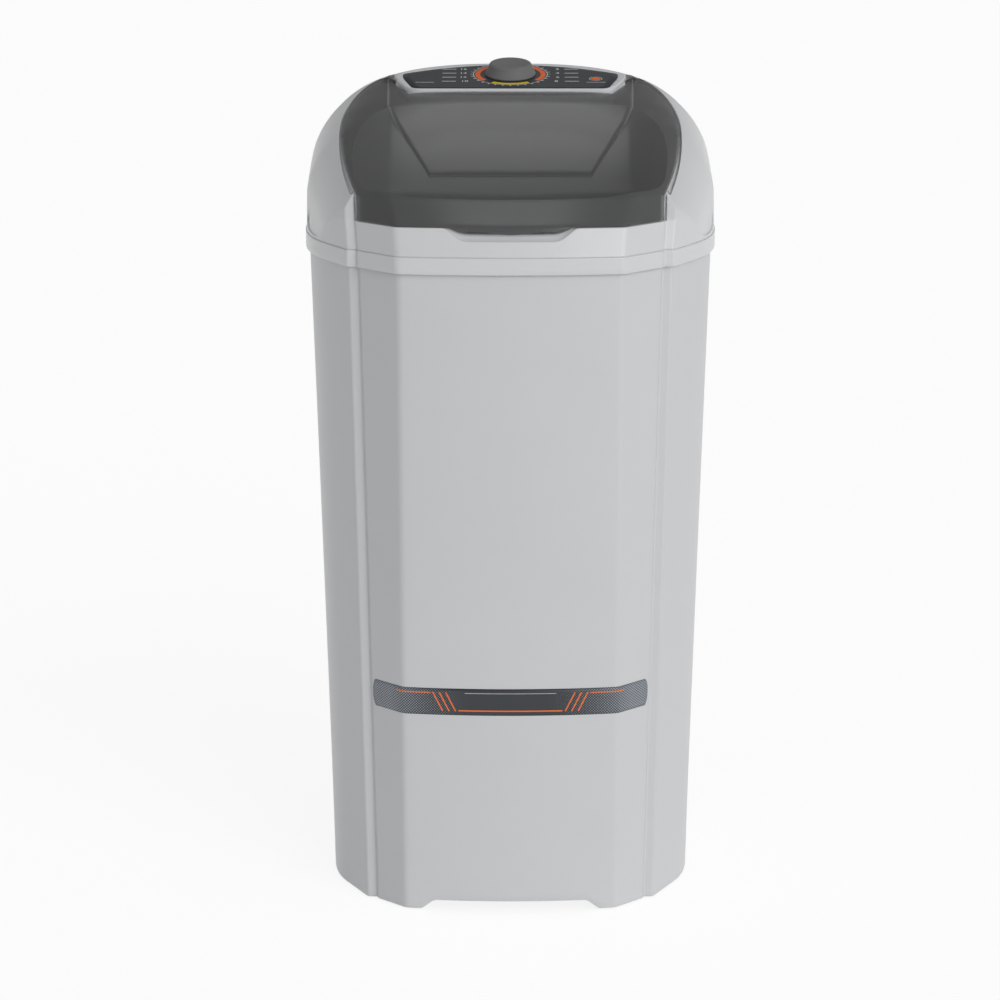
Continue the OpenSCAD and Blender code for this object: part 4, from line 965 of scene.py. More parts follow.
@dataclass(frozen=True)
class Deck:
    """The domed upper side of the top cover and its leaning walls."""

    plan: BodyPlan = BodyPlan()
    lip_y: float = 238.0
    lip_z: float = 861.0
    fascia_y: float = 210.0
    fascia_z: float = 892.0
    skirt_z: float = 805.0
    wall_top: float = 1020.0
    drop: float = 126.0
    power: float = 4.5
    low: float = 829.0
    blend: float = 2.5
    flat: float = 150.0
    ridge: tuple[tuple[float, ...], ...] = ((-238, -210, 85, 205, 285), (861, 892, 986, 1012, 1016))
    swell: float = 5.0
    spread: tuple[tuple[float, ...], ...] = ((-172, 30), (225, 260))
    groove: tuple[float, float] = (824.8, 827.2)

    def middle(self, y: Array) -> Array:
        """Height along the middle line, with its swell from the fascia to the dial panel."""
        line = np.interp(y, *self.ridge)
        return line + self.swell * np.sin(np.pi * np.clip((y + 210) / 295, 0, 1))

    def fall(self, x: Array, y: Array) -> Array:
        """How far the deck has fallen towards the sides."""
        half = np.interp(y, *self.spread)
        return self.drop * (1 - np.sqrt(np.maximum(0, 1 - np.minimum(1, np.abs(x) / half) ** self.power)))

    def height(self, x: Array, y: Array) -> Array:
        """Height of the deck.

        Args:
            x: Places across, (n,).
            y: Places along the depth, (n,).

        Returns:
            The heights, (n,).
        """
        near = np.minimum(np.abs(x), self.flat)
        keep = 1 - np.interp(y, [-210, 205], [0.25, 1.0])
        free = self.middle(y) + keep * self.fall(near, y) - self.fall(x, y)
        return self.low + (free - self.low + np.hypot(free - self.low, 2 * self.blend)) / 2

    def sizes(self, z: Array, inset: Array | float = 0.0) -> Array:
        """Sizes of the walls' outline.

        Args:
            z: Heights, (n,).
            inset: How far inside the outer face.

        Returns:
            The seven sizes for each height, (n, 7).
        """
        rim = np.array(self.plan.rim, float)
        skirt, upper = self.plan.grow(rim, 5.0), self.plan.grow(rim, 3.5)
        lip = upper.copy()
        lip[1], lip[3] = self.lip_y, upper[3] + 3
        fascia = upper + np.array([0, 0, -2, 12, -8, -6, 0])
        fascia[1] = self.fascia_y
        top = upper + np.array([0, 0, 0, 12, -8, -6, 0])
        top[1] = self.fascia_y - (self.wall_top - self.fascia_z) * 28 / 31
        top[2], top[6] = 205.0, upper[0] - 2
        levels = [self.skirt_z, *self.groove, self.lip_z, self.fascia_z, self.wall_top]
        table = np.array([skirt, skirt, upper, lip, fascia, top])
        z = np.asarray(z, float)
        found = np.stack([np.interp(z, levels, table[:, k]) for k in range(7)], axis=1)
        return found - np.broadcast_to(inset, z.shape)[:, None] * np.array([1, 1, 1, 0.4, 0, 0, 0])

    def wall(self, q: Array, z: Array | float, inset: Array | float = 0.0) -> Array:
        """Points of the walls, (n, 3), at places q and heights z."""
        z = np.broadcast_to(np.asarray(z, float), q.shape)
        return lift(self.plan.line(self.sizes(z, inset), q), z)

    def crest(self, q: Array) -> Array:
        """Height at which the wall meets the deck, found by halving.

        Args:
            q: Places round the outline, (n,).

        Returns:
            The heights, (n,).
        """
        low, high = np.full(q.shape, self.low), np.full(q.shape, 1019.0)
        for _ in range(40):
            z = (low + high) / 2
            p = self.wall(q, z)
            under = self.height(p[:, 0], p[:, 1]) > z - 0.002
            low, high = np.where(under, z, low), np.where(under, high, z)
        return low

    def lean(self, x: Array, y: Array, inset: float = 0.0) -> Array:
        """Height of the leaning front wall above points seen from above, found by halving.

        Args:
            x: Places across, (n,).
            y: Places along the depth, (n,).
            inset: How far inside the outer face.

        Returns:
            The heights, (n,); very high beside the front.
        """
        x = np.abs(x)
        low, high = np.full(x.shape, 828.0), np.full(x.shape, 1020.0)
        for _ in range(32):
            z = (low + high) / 2
            _, front, _, crease, facet_w, facet_d, _ = self.sizes(z, inset).T
            bowed = self.plan.bow * (x / crease) ** 2 - front
            slanted = self.plan.bow - front + (x - crease) * facet_d / facet_w
            inside = y > np.where(x < crease, bowed, slanted)
            low, high = np.where(inside, z, low), np.where(inside, high, z)
        return np.where(x > 189, 1e4, low)

    def skin(self, x: Array, y: Array, inset: float = 0.0) -> Array:
        """Height of the outer skin, or of a skin that lies further in."""
        return np.minimum(self.height(x, y) - inset, self.lean(x, y, inset))


def lid_side(gap: float = 0.0) -> Array:
    """One side of the lid seen from above, from its front corner to the end of its ear.

    Args:
        gap: How far outside the lid the line runs.

    Returns:
        The points, (n, 2).
    """
    one, two = (bezier(points, np.linspace(0, 1, 41)) for points in LID_SIDE)
    line = np.concatenate([one, two[1:]])
    way = np.gradient(line, axis=0)
    out = pair(way[:, 1], -way[:, 0])
    return line + gap * out / np.linalg.norm(out, axis=1)[:, None]


def panel_frame(y: float = 0.0, z: float = 0.0) -> Matrix:
    """Frame of the dial panel, moved along its own y and z by millimetres."""
    spot = placed(0, PANEL_Y * MM, PANEL_Z * MM, PANEL_TILT)
    return spot @ Matrix.Translation((0, y * MM, z * MM))


def bezel_line(inset: float) -> Array:
    """Outline of the dial panel, closed.

    Args:
        inset: How far inside the edge.

    Returns:
        The points in the panel's own frame, (n, 2).
    """
    steps = 14
    half = PANEL_HALF - inset
    x = half * (1 - np.arange(steps + 1) / steps)
    back = pair(x, 112 - inset - 46 * (x / PANEL_HALF) ** 2)
    front = 0.45 * inset - 6
    side = np.concatenate([[[0, front], [129 - 0.4 * inset, front], [half, 45]], back])
    room = max(0.3, 1 - inset / 16)
    reach = [0, 20 * room, 26 * room, 10 * room] + [0] * steps
    half_line = soften(side, reach, 7)
    return np.concatenate([half_line, (half_line * [-1, 1])[-2:0:-1]])


def mouth_line() -> Array:
    """Half of the laundry mouth seen from above.

    Returns:
        The points from the front middle to the back middle, (n, 2).
    """
    one, two = (bezier(points, np.linspace(0, 1, 31)) for points in MOUTH_SIDE)
    front = np.array([[x, 11 * (x / 147.5) ** 2 - 202] for x in (0, 20, 40, 60)], float)
    return np.concatenate([front, one, two[1:], [[0, 66]]])


# Sub-assemblies


@dataclass
class Cabinet:
    """The tapered cabinet shell and its printed band."""

    plan: BodyPlan = BodyPlan()
    steps: tuple[int, ...] = (12, 5, 2, 4, 22, 6, 22, 8)
    foot_gap: float = 2.0
    wall: float = 3.0
    kick_h: float = 14.0
    kick_low: float = 111.0
    kick_high: float = 96.0
    pocket_half: tuple[float, float] = (55.0, 48.0)
    channel_r: float = 24.0
    channel_top: float = 730.0
    spigot_r: float = 16.1
    band_z: float = 257.0
    band_h: float = 34.0
    film: float = 0.4

    def ring(self, q: Array, z: Array | float, inset: float) -> Array:
        """One row of the shell.

        Args:
            q: Places round the outline, (n,).
            z: Heights.
            inset: How far inside the outer face.

        Returns:
            The points, (n, 3).
        """
        z = np.broadcast_to(np.asarray(z, float), q.shape)
        return lift(self.plan.line(self.plan.grow(self.plan.level(z), -inset), q), z)

    def foot_line(self, q: Array) -> Array:
        """Height of the lower edge, with the kick recess.

        Args:
            q: Places round the outline, (n,).

        Returns:
            The heights, (n,).
        """
        x = self.ring(q, 8.0, 0)[:, 0]
        high, low = self.kick_h, self.foot_gap
        edge = np.array([[0, high], [self.kick_high, high], [self.kick_low, low], [140, low]], float)
        edge = soften(edge, [0, 5, 3, 0])
        return np.where(q <= 1, np.interp(x, edge[:, 0], edge[:, 1]), low)

    def shell(self) -> bpy.types.Object:
        """The shell with its kick recess, hose pocket and hose channel.

        Returns:
            The piece.
        """
        top = self.plan.height
        crease = self.plan.level(np.array([8.0]))[0, 3]
        kick = np.linspace(self.kick_high - 6, self.kick_low + 4, 9) / crease
        q = self.plan.places(self.steps, kick)
        foot = self.foot_line(q)
        rise = np.concatenate([[0.0], np.linspace(0.01, 0.99, 30), [1.0]])
        outer = [self.ring(q, foot, 1.2), self.ring(q, foot + 0.35, 0.35), self.ring(q, foot + 1.2, 0)]
        outer += [self.ring(q, lerp(foot + 1.2, top, t), 0) for t in rise[1:]]
        inner = [self.ring(q, lerp(foot, top, t), self.wall) for t in rise[::-3]]
        rows = outer + inner + [self.ring(q, foot, self.wall)]
        shell = grid("cabinet_shell", both_sides(np.stack(rows)))
        clean(shell.data)
        pocket = self.pocket(self.wall)
        carve(pocket, self.block(), Cut.COMMON)
        carve(shell, pocket, Cut.JOIN)
        carve(shell, self.pocket(0.0), Cut.AWAY)
        way = placed(OUTLET_X, 0.198, OUTLET_Z, math.pi / 2)
        carve(shell, prism("spigot_hole", circle(self.spigot_r), -12, 12, way), Cut.AWAY)
        clean(shell.data, angle=28.0)
        return shell

    def block(self) -> bpy.types.Object:
        """The whole body as one block, which the pocket is cut to.

        Returns:
            The block.
        """
        q = self.plan.places(self.steps)
        rows = [self.ring(q, 2.0, 0), self.ring(q, self.plan.height, 0)]
        middle = [row * [0, 0, 1] for row in rows]
        block = grid("body_block", both_sides(np.stack([middle[0], *rows, middle[1]])), close=False)
        clean(block.data)
        return block

    def pocket(self, grown: float) -> bpy.types.Object:
        """The hose pocket and the channel above it as one solid.

        Args:
            grown: How far its faces are moved out.

        Returns:
            The solid.
        """
        box = np.array([[-1, -1], [1, -1], [1, 1], [-1, 1]]) * (np.array(self.pocket_half) + grown)
        turn = placed(OUTLET_X, 0.228, OUTLET_Z, math.pi / 2)
        pocket = prism("hose_pocket", box, -30, 30 + grown, turn)
        spot = Matrix.Translation((OUTLET_X, 0.250, 0.0))
        tube = circle(self.channel_r + grown, 40)
        channel = prism("hose_channel", tube, OUTLET_Z / MM, self.channel_top + grown, spot)
        carve(pocket, channel, Cut.JOIN)
        return pocket

    def band(self) -> bpy.types.Object:
        """The printed film across the front and its two facets, with its ends rounded.

        Returns:
            The piece.
        """
        q = self.plan.places((24, 12, 2, 2, 2, 2, 2, 2))
        q = q[q <= 1.985]
        rim = self.ring(q, self.band_z + self.band_h / 2, 0)[:, 0]
        end = np.clip((rim - (rim[-1] - 20)) / 20, 0, 1)
        rows = []
        for t in np.linspace(0, 1, 9):
            pull = end * (5 * abs(2 * t - 1) ** 3)
            rows.append(self.ring(np.maximum(q - pull / 62, 0), self.band_z + self.band_h * t, -self.film))
        band = grid("front_band", both_sides(np.stack(rows), closed=False), wrap=False, close=False)
        clean(band.data, angle=60.0)
        thicken(band, 0.00055, -1.0)
        bake(band)
        return band

    def build(self) -> None:
        """Builds and dresses the cabinet's pieces."""
        dress(self.shell(), "frame", "shell_plastic", ["cabinet"])
        dress(self.band(), "frame", "strip_film", ["front_strip"])


@dataclass
class TopCover:
    """The domed top cover with the lid's recess, the finger scoop and the laundry mouth."""

    deck: Deck = field(default_factory=Deck)
    wall: float = 3.0
    recess: float = 6.0
    gap: float = 1.6
    scoop_half: float = 78.6
    scoop_slant: float = 19.5
    scoop_low: float = 844.4
    scoop_slope: float = 6.0
    flange_z: float = 815.0
    skirt: tuple[tuple[float, float], ...] = (
        (805.0, 1.0), (805.3, 0.3), (806.0, 0.0), (812.0, 0.0), (818.0, 0.0), (823.6, 0.0),
        (824.6, 0.0), (825.2, 0.0), (825.5, 1.4), (826.1, 1.4), (826.5, 0.2), (827.2, 0.0),
    )
    niche: Point = (-0.118, 0.2325, 0.868)
    niche_r: float = 29.0

    def lip_line(self, x: Array) -> Array:
        """Height of the cover's front edge under the lid, with the finger scoop.

        Args:
            x: Places across, (n,).

        Returns:
            The heights, (n,).
        """
        top = self.deck.lip_z - self.gap
        low = self.scoop_half - self.scoop_slant
        edge = np.array([[0, self.scoop_low], [low, self.scoop_low], [self.scoop_half, top], [200, top]])
        edge = soften(edge, [0, 9, 4, 0], 7)
        return np.interp(x, edge[:, 0], edge[:, 1])

    def rim_line(self, start: Array) -> tuple[Array, list[float]]:
        """Outer edge of the lid's recess and of the dial panel's pocket, seen from above.

        Args:
            start: Where the line leaves the front corner, (2,).

        Returns:
            The line, and the lengths along it that go with the knots in rows.
        """
        side = lid_side(self.gap)
        side = side[side[:, 1] > start[1] + 3]
        bezel = bezel_line(-0.3)
        bezel[:, 1] = PANEL_Y + bezel[:, 1] * math.cos(PANEL_TILT)
        arc = bezel[(bezel[:, 0] >= 0) & (bezel[:, 1] > 150)]
        arc = arc[np.argsort(-arc[:, 0])]
        corner = np.array([[148.8, 177.6], [148.8, arc[0, 1] - 0.5]])
        line = np.concatenate([start[None], side, corner, arc])
        run = lengths_to(line)
        x, y = line.T
        passed = (y > -150, y > 45, y > 112, (x < 149) & (y > 170), (x < 149) & (y < 170))
        return line, [0.0, *(float(run[np.argmax(test)]) for test in passed), float(run[-1])]

    def floor(self, x: Array, y: Array) -> Array:
        """Height of the recess floor, which steps up under the dial panel.

        Args:
            x: Places across, (n,).
            y: Places along the depth, (n,).

        Returns:
            The heights, (n,).
        """
        low = self.deck.skin(x, y, self.recess)
        high = PANEL_Z + (y - PANEL_Y) * math.tan(PANEL_TILT) - 6.3 / math.cos(PANEL_TILT)
        end = np.interp(y, [86, 136], [129, PANEL_HALF]) + 0.6
        under = np.clip((y - 82) / 3, 0, 1) * np.clip((end - np.abs(x)) / 1.5, 0, 1)
        return lerp(low, np.maximum(low, high), under)

    def mouth_near(self, points: Array) -> Array:
        """The mouth's nearest point to each given point, seen from above.

        Args:
            points: Points from the front middle to the back middle, (n, 2).

        Returns:
            Points of the mouth, which never turn back, (n, 2).
        """
        mouth = mouth_line()
        mouth = along(mouth, np.linspace(0, lengths_to(mouth)[-1], 400))
        gaps = np.linalg.norm(points[:, None, :2] - mouth[None], axis=2)
        return mouth[np.maximum.accumulate(gaps.argmin(axis=1))]

    def rows(self) -> Array:
        """All rows of half the cover, from its lower edge over the deck and back inside.

        Returns:
            The points, (rows, n, 3). Places up to 3 are the front under the lid; from there on
            the deck strip runs beside the recess.
        """
        plan, deck = self.deck.plan, self.deck
        scoop = np.concatenate([np.linspace(48, 70, 12), np.linspace(71, 84, 12)]) / 137.5
        knots = [3, 4, 5, 6, 6.55, 6.6, 8]
        q = plan.places((12, 6, 3, 5, 26, 9, 34, 16), [*scoop, *knots[4:6]])
        q = np.concatenate([q[q <= 3], q[q >= 3]])
        side = np.arange(len(q)) > np.searchsorted(q, 3.0)
        edge = deck.wall(q, 855.0)[:, 0]
        for _ in range(3):
            edge = deck.wall(q, self.lip_line(edge))[:, 0]
        top = np.where(side, deck.crest(q), self.lip_line(edge))
        crown = deck.wall(q, top)

        def either(beside: Array, before: Array) -> Array:
            """The first points beside the recess and the second ones in front of it."""
            return np.where(side[:, None], beside, before)

        def over(flat: Array, height: Callable[[Array, Array], Array]) -> Array:
            """Points seen from above, set on a surface."""
            return lift(flat, height(flat[:, 0], flat[:, 1]))

        line, lengths = self.rim_line(crown[side][0, :2])
        rim = either(along(line, np.interp(q, knots, lengths)), crown[:, :2])
        inward = rim - crown[:, :2]
        span = np.linalg.norm(inward, axis=1)
        wide = np.maximum(span, 0.01)

        def on_deck(part: Array) -> Array:
            """Points of the deck strip at a part of the way from the wall to the recess."""
            return over(crown[:, :2] + inward * part[:, None], deck.height)

        # Lower edge, skirt band with its groove, and the wall up to the rounding.
        base = 827.4
        soft = np.where(side, np.minimum(3.2, 0.4 * span), 1.2)
        lower = deck.wall(q, np.maximum(top - np.maximum(soft, 0.6), base + 0.2))
        rows = [deck.wall(q, z, inset) for z, inset in self.skirt]
        rows += [deck.wall(q, lerp(base, lower[:, 2], t)) for t in np.linspace(0, 1, 26)[1:]]
        # Over the crown and across the deck strip to the brink of the recess.
        part = np.where(span > 0.01, soft / wide, 0.0)
        turned = either(on_deck(part), deck.wall(q, top, soft))
        rows += [bend(lower, crown, turned, t) for t in (0.25, 0.5, 0.75, 1.0)]
        last = np.where(span > 0.01, 1 - np.minimum(0.4, 0.9 / wide), 0.0)
        rows += [either(on_deck(lerp(part, last, t)), turned) for t in np.linspace(0, 1, 15)[1:]]
        brink = over(rim, deck.height)
        for t in (0.3, 0.65, 1.0):
            rows.append(either(bend(rows[-1], brink, brink - [0, 0, 0.9], t), turned))
        # The recess floor as far as the mouth.
        slope = np.clip(deck.lip_z - self.gap - top, 0, self.scoop_slope)
        mouth = self.mouth_near(rim)
        towards = mouth - rim
        unit = towards / np.maximum(np.linalg.norm(towards, axis=1), 0.1)[:, None]
        foot = either(over(rim + unit * 0.8, self.floor), deck.wall(q, top + slope, self.recess))
        rows.append(foot)
        stop = mouth - unit * 1.6
        rows += [over(lerp(foot[:, :2], stop, t), self.floor) for t in np.linspace(0, 1, 12)[1:]]
        # The mouth's lip and flange, and the inside back to the lower edge.
        shore = rows[-1]
        lip = lift(mouth, shore[:, 2])
        rows += [bend(shore, lip, lip - [0, 0, 1.6], t) for t in (0.35, 0.7, 1.0)]
        outer = mouth - unit * 3
        rows += [lift(mouth, self.flange_z), lift(outer, self.flange_z), lift(outer, shore[:, 2] - 3.4)]
        rows.append(either(foot - [0, 0, 3.4], deck.wall(q, top - 4.0, self.recess + 3.2)))
        rows.append(deck.wall(q, np.where(side, np.minimum(top - 9, foot[:, 2] - 3), top - 4.2), 3.2))
        rows.append(deck.wall(q, deck.skirt_z, self.wall))
        return np.stack(rows)

    def shell(self) -> bpy.types.Object:
        """The cover with the niche for the fill hose.

        Returns:
            The piece.
        """
        shell = grid("cover_shell", both_sides(self.rows()))
        clean(shell.data, angle=34.0)
        turn = placed(*self.niche, -math.pi / 2)
        carve(shell, prism("inlet_niche", circle(self.niche_r, 64), 0, 60, turn), Cut.AWAY)
        clean(shell.data, angle=34.0)
        return shell

    def build(self) -> None:
        """Builds and dresses the cover."""
        dress(self.shell(), "frame", "cover_plastic", ["top_cover"])


@dataclass
class Lid:
    """The smoky lid: fascia with its finger tab, raised shield, ears and hinge knuckles."""

    deck: Deck = field(default_factory=Deck)
    thick: float = 3.0
    notch: tuple[float, float] = (130.6, 83.4)
    ear_in: tuple[float, float] = (150.6, 134.0)
    ear_y: float = 174.0
    corner_x: float = 187.0
    shield_y: float = -152.5
    shield_rows: tuple[float, ...] = (-152.9, -152.1, -151.1)
    shield_line: tuple[tuple[float, ...], ...] = ((-152.5, -8, 50, 176), (97.5, 144, 155, 159))
    shield_rise: float = 1.3
    back_rise: float = 2.6
    brow_y: float = 45.0
    brow_fall: float = 60.0
    brow_half: float = 141.0
    tab_half: float = 77.0
    tab_steps: tuple[tuple[float, float], ...] = (
        (9, 49), (8.8, 53), (8.2, 57), (7.2, 60.6), (5.7, 64.4), (3.8, 68.7), (1.8, 73.1)
    )
    tab_lean: float = math.atan(12.5 / 34.4)
    tab_place: float = 0.557
    shield_place: float = 0.66
    fold: float = 2.6
    hinge: Point = (156.1, 170.0, 992.266)
    knuckle_r: float = 4.5
    knuckle_half: float = 5.0
    bore_r: float = 2.6

    def curves(self, y: Array) -> Array:
        """Guide lines of the columns at given depths: middle, notch, shield, crease and edge.

        Args:
            y: Depths, (n,).

        Returns:
            The five distances from the middle, (5, n).
        """
        side = lid_side()
        edge = np.interp(y, side[:, 1], side[:, 0])
        inner = [(82.2, -207), (85, -152.5), (112, -8), (124, 50), self.notch, self.ear_in]
        notch = np.interp(y, [p[1] for p in inner], [p[0] for p in inner])
        shield = np.interp(y, [-207, -152.5, -8, 50, 174], [97.3, 97.5, 144, 155, 159])
        crease = np.interp(y, [-200, -150, 0, 83.4, 174], [147.5, 158, 180, 187, 168])
        shield = np.minimum(shield, lerp(self.ear_in[0], edge, 0.4))
        crease = np.minimum(crease, lerp(shield, edge, 0.55))
        return np.stack([np.zeros_like(y), notch, shield, crease, edge])

    def raised(self, x: Array, y: Array) -> Array:
        """How far the shield stands above the rest of the lid.

        Args:
            x: Places across, (n,).
            y: Places along the depth, (n,).

        Returns:
            The rise, (n,), most towards the brow at the back.
        """
        line = np.interp(y, *self.shield_line)
        inside = np.clip((line + 0.9 - np.abs(x)) / 1.8, 0, 1)
        behind = np.clip((y - self.shield_y + 0.9) / 1.8, 0, 1)
        top = self.brow_y - self.brow_fall * np.minimum(1, np.abs(x) / self.brow_half) ** 3
        fall = np.interp(y, [self.brow_y, self.notch[1], self.ear_in[1]], [1, 0.5, 0])
        back = np.where(y < top, np.clip(1 - (top - y) / 85, 0, 1), np.minimum(1, fall))
        rise = self.shield_rise + self.back_rise * back
        return rise * inside * inside * (3 - 2 * inside) * behind * behind * (3 - 2 * behind)

    def columns(self) -> tuple[Array, Array, Array]:
        """Columns of half the lid.

        Returns:
            Place of each column at the front, its stretch between two guide lines, and its
            part of the way across that stretch.
        """
        stops = [0.0, self.tab_place, self.shield_place, 1.0, 2.0]
        parts = [
            np.linspace(0, 1, 21)[:-1],
            np.array([0.0, 0.3, 0.6, 0.84, 0.93]),
            np.concatenate([[0.0, 0.02, 0.05], np.linspace(0.1, 1, 10)[:-1]]),
            np.linspace(0, 1, 13),
        ]
        place = [lerp(stops[k], stops[k + 1], t) for k, t in enumerate(parts)]
        group = [np.full(len(t), k) for k, t in enumerate(parts)]
        return np.concatenate(place), np.concatenate(group), np.concatenate(parts)

    def shape(self) -> tuple[Array, Array]:
        """Rows of half the lid's outer skin and the cells that are left out.

        Returns:
            The points, (rows, columns, 3), and the mask, (rows - 1, columns - 1).
        """
        deck = self.deck
        q, group, part = self.columns()
        index = np.arange(len(q))
        crest = deck.crest(q)

        def fascia(z: Array | float) -> Array:
            """A row of the leaning front, which ends at the corner."""
            row = deck.wall(q, z)
            row[:, 0] = np.minimum(row[:, 0], self.corner_x)
            return row

        # The finger tab, from its tip up to the lip.
        root = fascia(deck.lip_z)
        rows: list[Array] = []
        for drop, half in self.tab_steps:
            shift = np.array([0, drop * math.sin(self.tab_lean), drop * math.cos(self.tab_lean)])
            rows.append(root * [half / self.tab_half, 1, 1] - shift)
        tab_rows = len(rows)
        # The fascia and the bend at its top.
        rows += [fascia(lerp(deck.lip_z, crest - self.fold, t)) for t in np.linspace(0, 1, 9)]
        brow, crown = rows[-1], fascia(crest)
        start_y = crown[:, 1] + self.fold
        guides = self.curves(start_y)
        low, high = guides[group, index], guides[group + 1, index]
        share = np.clip((crown[:, 0] - low) / np.maximum(high - low, 0.1), 0, 1)

        def at(y: Array, fraction: Array) -> Array:
            """Points of the skin for each column at the given depths."""
            lines = self.curves(y)
            x = lerp(lines[group, index], lines[group + 1, index], fraction)
            return np.column_stack([x, y, deck.height(x, y) + self.raised(x, y)])

        def onward(y: Array | float, t: float) -> None:
            """Adds a row at depths that lie behind the row before it, t of the way to the guides."""
            rows.append(at(np.maximum(y, rows[-1][:, 1] + 0.2), lerp(share, part, min(1.0, t))))

        after = at(start_y, share)
        rows += [bend(brow, crown, after, t) for t in (0.3, 0.5, 0.7, 1.0)]
        # Back to the shield's front line, over it, and on to the notch and the ears.
        for t in np.linspace(0, 1, 8)[1:]:
            onward(lerp(start_y, self.shield_y - 1.4, t), t * 0.3)
        for y in self.shield_rows:
            onward(y, 0.3)
        for t in np.linspace(0, 1, 42)[1:]:
            onward(lerp(self.shield_rows[-1], self.notch[1], t), 0.3 + 0.7 * t)
        notch_row = len(rows) - 1
        beside = np.linspace(self.notch[1], self.ear_in[1], 13)[1:]
        ears = np.linspace(self.ear_in[1], self.ear_y, 11)[1:]
        rows += [at(np.full_like(start_y, y), part) for y in (*beside, *ears)]
        skip = np.zeros((len(rows) - 1, len(q) - 1), bool)
        edge = int(np.searchsorted(q, self.tab_place))
        skip[:tab_rows, edge:] = True
        skip[notch_row:, :edge] = True
        return np.stack(rows), skip

    def leaf(self) -> bpy.types.Object:
        """The moulded lid with its thickness and softened edges.

        Returns:
            The piece.
        """
        skin, skip = self.shape()
        skip = np.concatenate([skip[:, ::-1], skip], axis=1)
        leaf = grid("lid_leaf_shell", both_sides(skin, closed=False), False, False, skip)
        clean(leaf.data, angle=60.0)
        if leaf.data.polygons[0].normal.y > 0:
            leaf.data.flip_normals()
        thicken(leaf, self.thick * MM, -1.0, even=True)
        round_off = leaf.modifiers.new("edges", "BEVEL")
        round_off.width, round_off.segments = 0.0007, 2
        round_off.limit_method, round_off.angle_limit = "ANGLE", math.radians(55)
        bake(leaf)
        clean(leaf.data, merge=0.000001, angle=50.0)
        return leaf

    def knuckle(self, sign: int) -> bpy.types.Object:
        """One hinge knuckle with the web that ties it to the ear.

        Args:
            sign: 1 for the right one, -1 for the left one.

        Returns:
            The piece.
        """
        x, y, z = self.hinge
        arc = np.linspace(math.radians(20), math.radians(-200), 24)
        ring = pair(self.knuckle_r * np.cos(arc), self.knuckle_r * np.sin(arc))
        outline = np.concatenate([[[-4.4, 6.2], [3.9, 6.2]], ring])
        turn = Matrix.Translation((sign * x * MM, y * MM, z * MM))
        turn = turn @ Matrix.Rotation(math.pi / 2, 4, "Z") @ Matrix.Rotation(math.pi / 2, 4, "X")
        side = "right" if sign > 0 else "left"
        piece = prism(f"lid_knuckle_{side}", outline, -self.knuckle_half, self.knuckle_half, turn)
        bore = prism("bore", circle(self.bore_r, 32), -8, 8, turn)
        carve(piece, bore, Cut.AWAY)
        clean(piece.data)
        return piece

    def build(self) -> None:
        """Builds and dresses the lid's pieces."""
        dress(self.leaf(), "lid_leaf", "lid_smoke", ["lid"])
        for sign in (-1, 1):
            dress(self.knuckle(sign), "lid_leaf", "lid_smoke")


